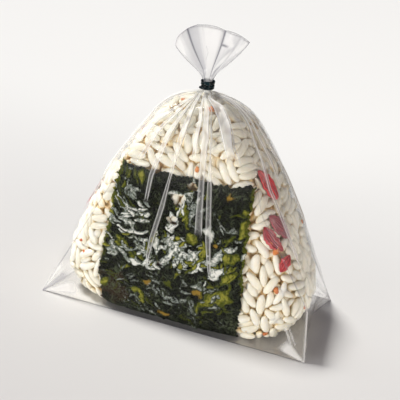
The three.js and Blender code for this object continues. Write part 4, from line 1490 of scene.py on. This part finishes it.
band_finish, tree, shader, place = start_finish("elastic_band_finish", Roughness=0.16, IOR=1.3)
band_tone = ramp(tree, mottle(tree, place, 0.8 * mm), 0.4, 0.65)
tree.links.new(blend_colour(tree, band_tone, band_black, band_sheen), shader.inputs["Base Color"])
bump(tree, shader, mottle(tree, place, 0.35 * mm), 0.05 * mm, 0.5)
t = np.linspace(0, 1, band_steps)
wind = math.radians(-150) + t * band_turns * 2 * math.pi
tie_radius = (tie_high[0] - tie_low[0]) / 2
wound_radius = tie_radius - band_tube - 0.12 * mm + 0.1 * mm * t
tail = np.clip((tail_share - t) / tail_share, 0, 1)
wound_radius = wound_radius + tail ** 2 * tail_stand
lowest = tie_low[2] + band_tube
highest = tie_high[2] - band_tube
climb = np.clip((t * band_turns - 0.7) / (band_turns - 1.5), 0, 1)
wound_height = lowest + (highest - lowest) * climb - tail * tail_drop
wound_height = wound_height + 0.05 * mm * np.sin(wind * 1.7)
spine = np.stack([wound_radius * np.cos(wind), wound_radius * np.sin(wind), wound_height], axis=1)
ahead = np.gradient(spine, axis=0)
ahead /= np.linalg.norm(ahead, axis=1, keepdims=True)
outward = np.stack([np.cos(wind), np.sin(wind), 0 * wind], axis=1)
upward = np.cross(ahead, outward)
upward /= np.linalg.norm(upward, axis=1, keepdims=True)
section = np.arange(band_sides) / band_sides * 2 * np.pi
stretch = 1 + 0.06 * np.sin(t * 40)[:, None, None]
across_tube = outward[:, None] * np.cos(section)[:, None] * 0.85
along_tube = upward[:, None] * np.sin(section)[:, None] * 1.05
band_rings = spine[:, None] + stretch * band_tube * (across_tube + along_tube)
band_total = band_steps * band_sides
band_faces = grid_faces(band_steps, band_sides, True).tolist()
band_faces += fan_faces(list(range(band_sides))[::-1], band_total)
band_faces += fan_faces(list(range(band_total - band_sides, band_total)), band_total + 1)
band_points = np.concatenate([band_rings.reshape(-1, 3), spine[[0, -1]]])
wound_band = new_piece("wound_band", band_points, band_faces, band_finish)
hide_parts("neck_tie")

# The table, the light and the camera: a plain pale floor, painted darker towards the
# front as painted shade, a soft window-like light from the upper left, and the view that
# the picture was drawn from.
floor_size = 3.0
floor_gap = 0.05 * mm
floor_near = (0.61, 0.597, 0.585, 1)
floor_far = (0.86, 0.86, 0.84, 1)
floor_finish, tree, shader, place = start_finish("pale_floor_finish", Roughness=0.85)
shader.inputs["Specular IOR Level"].default_value = 0.1
away_from_eye = node(tree, "ShaderNodeVectorMath", {0: place, 1: (0, 1, 0)}, operation="DOT_PRODUCT")
# Painted shade: the floor colour darkens towards the front.
distance_tone = ramp(tree, away_from_eye.outputs["Value"], -130 * mm, 200 * mm)
tree.links.new(blend_colour(tree, distance_tone, floor_near, floor_far), shader.inputs["Base Color"])
floor_mesh = bpy.data.meshes.new("floor")
floor_corners = [
    (x * floor_size, y * floor_size, -floor_gap) for x, y in ((-1, -1), (1, -1), (1, 1), (-1, 1))
]
floor_mesh.from_pydata(floor_corners, [], [(0, 1, 2, 3)])
floor_mesh.materials.append(floor_finish)
floor = bpy.data.objects.new("floor", floor_mesh)
bpy.context.collection.objects.link(floor)

scene = bpy.context.scene
scene.view_settings.view_transform = "Standard"
world = bpy.data.worlds.new("studio_air")
world.use_nodes = True
air = world.node_tree.nodes["Background"]
air.inputs["Color"].default_value = (0.66, 0.64, 1.0, 1)
air.inputs["Strength"].default_value = 0.085
scene.world = world


def soft_light(name, place_at, aim_at, width, height, power, tint):
    lamp = bpy.data.lights.new(name, "AREA")
    lamp.shape = "RECTANGLE"
    lamp.size = width
    lamp.size_y = height
    lamp.energy = power
    lamp.color = tint
    holder = bpy.data.objects.new(name, lamp)
    bpy.context.collection.objects.link(holder)
    way = Vector(aim_at) - Vector(place_at)
    holder.rotation_euler = way.to_track_quat("-Z", "Y").to_euler()
    holder.location = place_at


window = bpy.data.lights.new("window", "SUN")
window.energy = 3.5
window.angle = math.radians(13)
window.color = (1.0, 0.985, 0.955)
window_holder = bpy.data.objects.new("window", window)
bpy.context.collection.objects.link(window_holder)
window_way = Vector((0.46, -0.09, -0.87))
window_holder.rotation_euler = window_way.to_track_quat("-Z", "Y").to_euler()
soft_light("left_fill", (-0.95, -1.52, 0.16), (0, 0, 0.05), 0.7, 0.3, 20.0, (1.0, 0.99, 0.98))
soft_light("right_fill", (1.30, -1.10, 0.16), (0, 0, 0.05), 0.7, 0.3, 11.5, (1.0, 0.92, 0.83))

picture_side = 400
focal_pixels = 792
view_turn = math.radians(17.9)
view_rise = math.radians(25)
view_roll = math.radians(5.1)
view_distance = 260.4 * mm
view_target = Vector((0.83 * mm, 0, 36.9 * mm))
back_way = Vector((
    math.sin(view_turn) * math.cos(view_rise),
    -math.cos(view_turn) * math.cos(view_rise),
    math.sin(view_rise),
))
level_right = Vector((0, 0, 1)).cross(back_way).normalized()
level_up = back_way.cross(level_right)
rolled_right = level_right * math.cos(view_roll) + level_up * math.sin(view_roll)
rolled_up = level_up * math.cos(view_roll) - level_right * math.sin(view_roll)
lens = bpy.data.cameras.new("picture_view")
lens.sensor_width = 36
lens.lens = focal_pixels / picture_side * lens.sensor_width
lens.clip_start = 0.01
lens.clip_end = 20
camera = bpy.data.objects.new("picture_view", lens)
bpy.context.collection.objects.link(camera)
turned = Matrix((rolled_right, rolled_up, back_way)).transposed().to_4x4()
camera.matrix_world = Matrix.Translation(view_target + back_way * view_distance) @ turned
scene.camera = camera
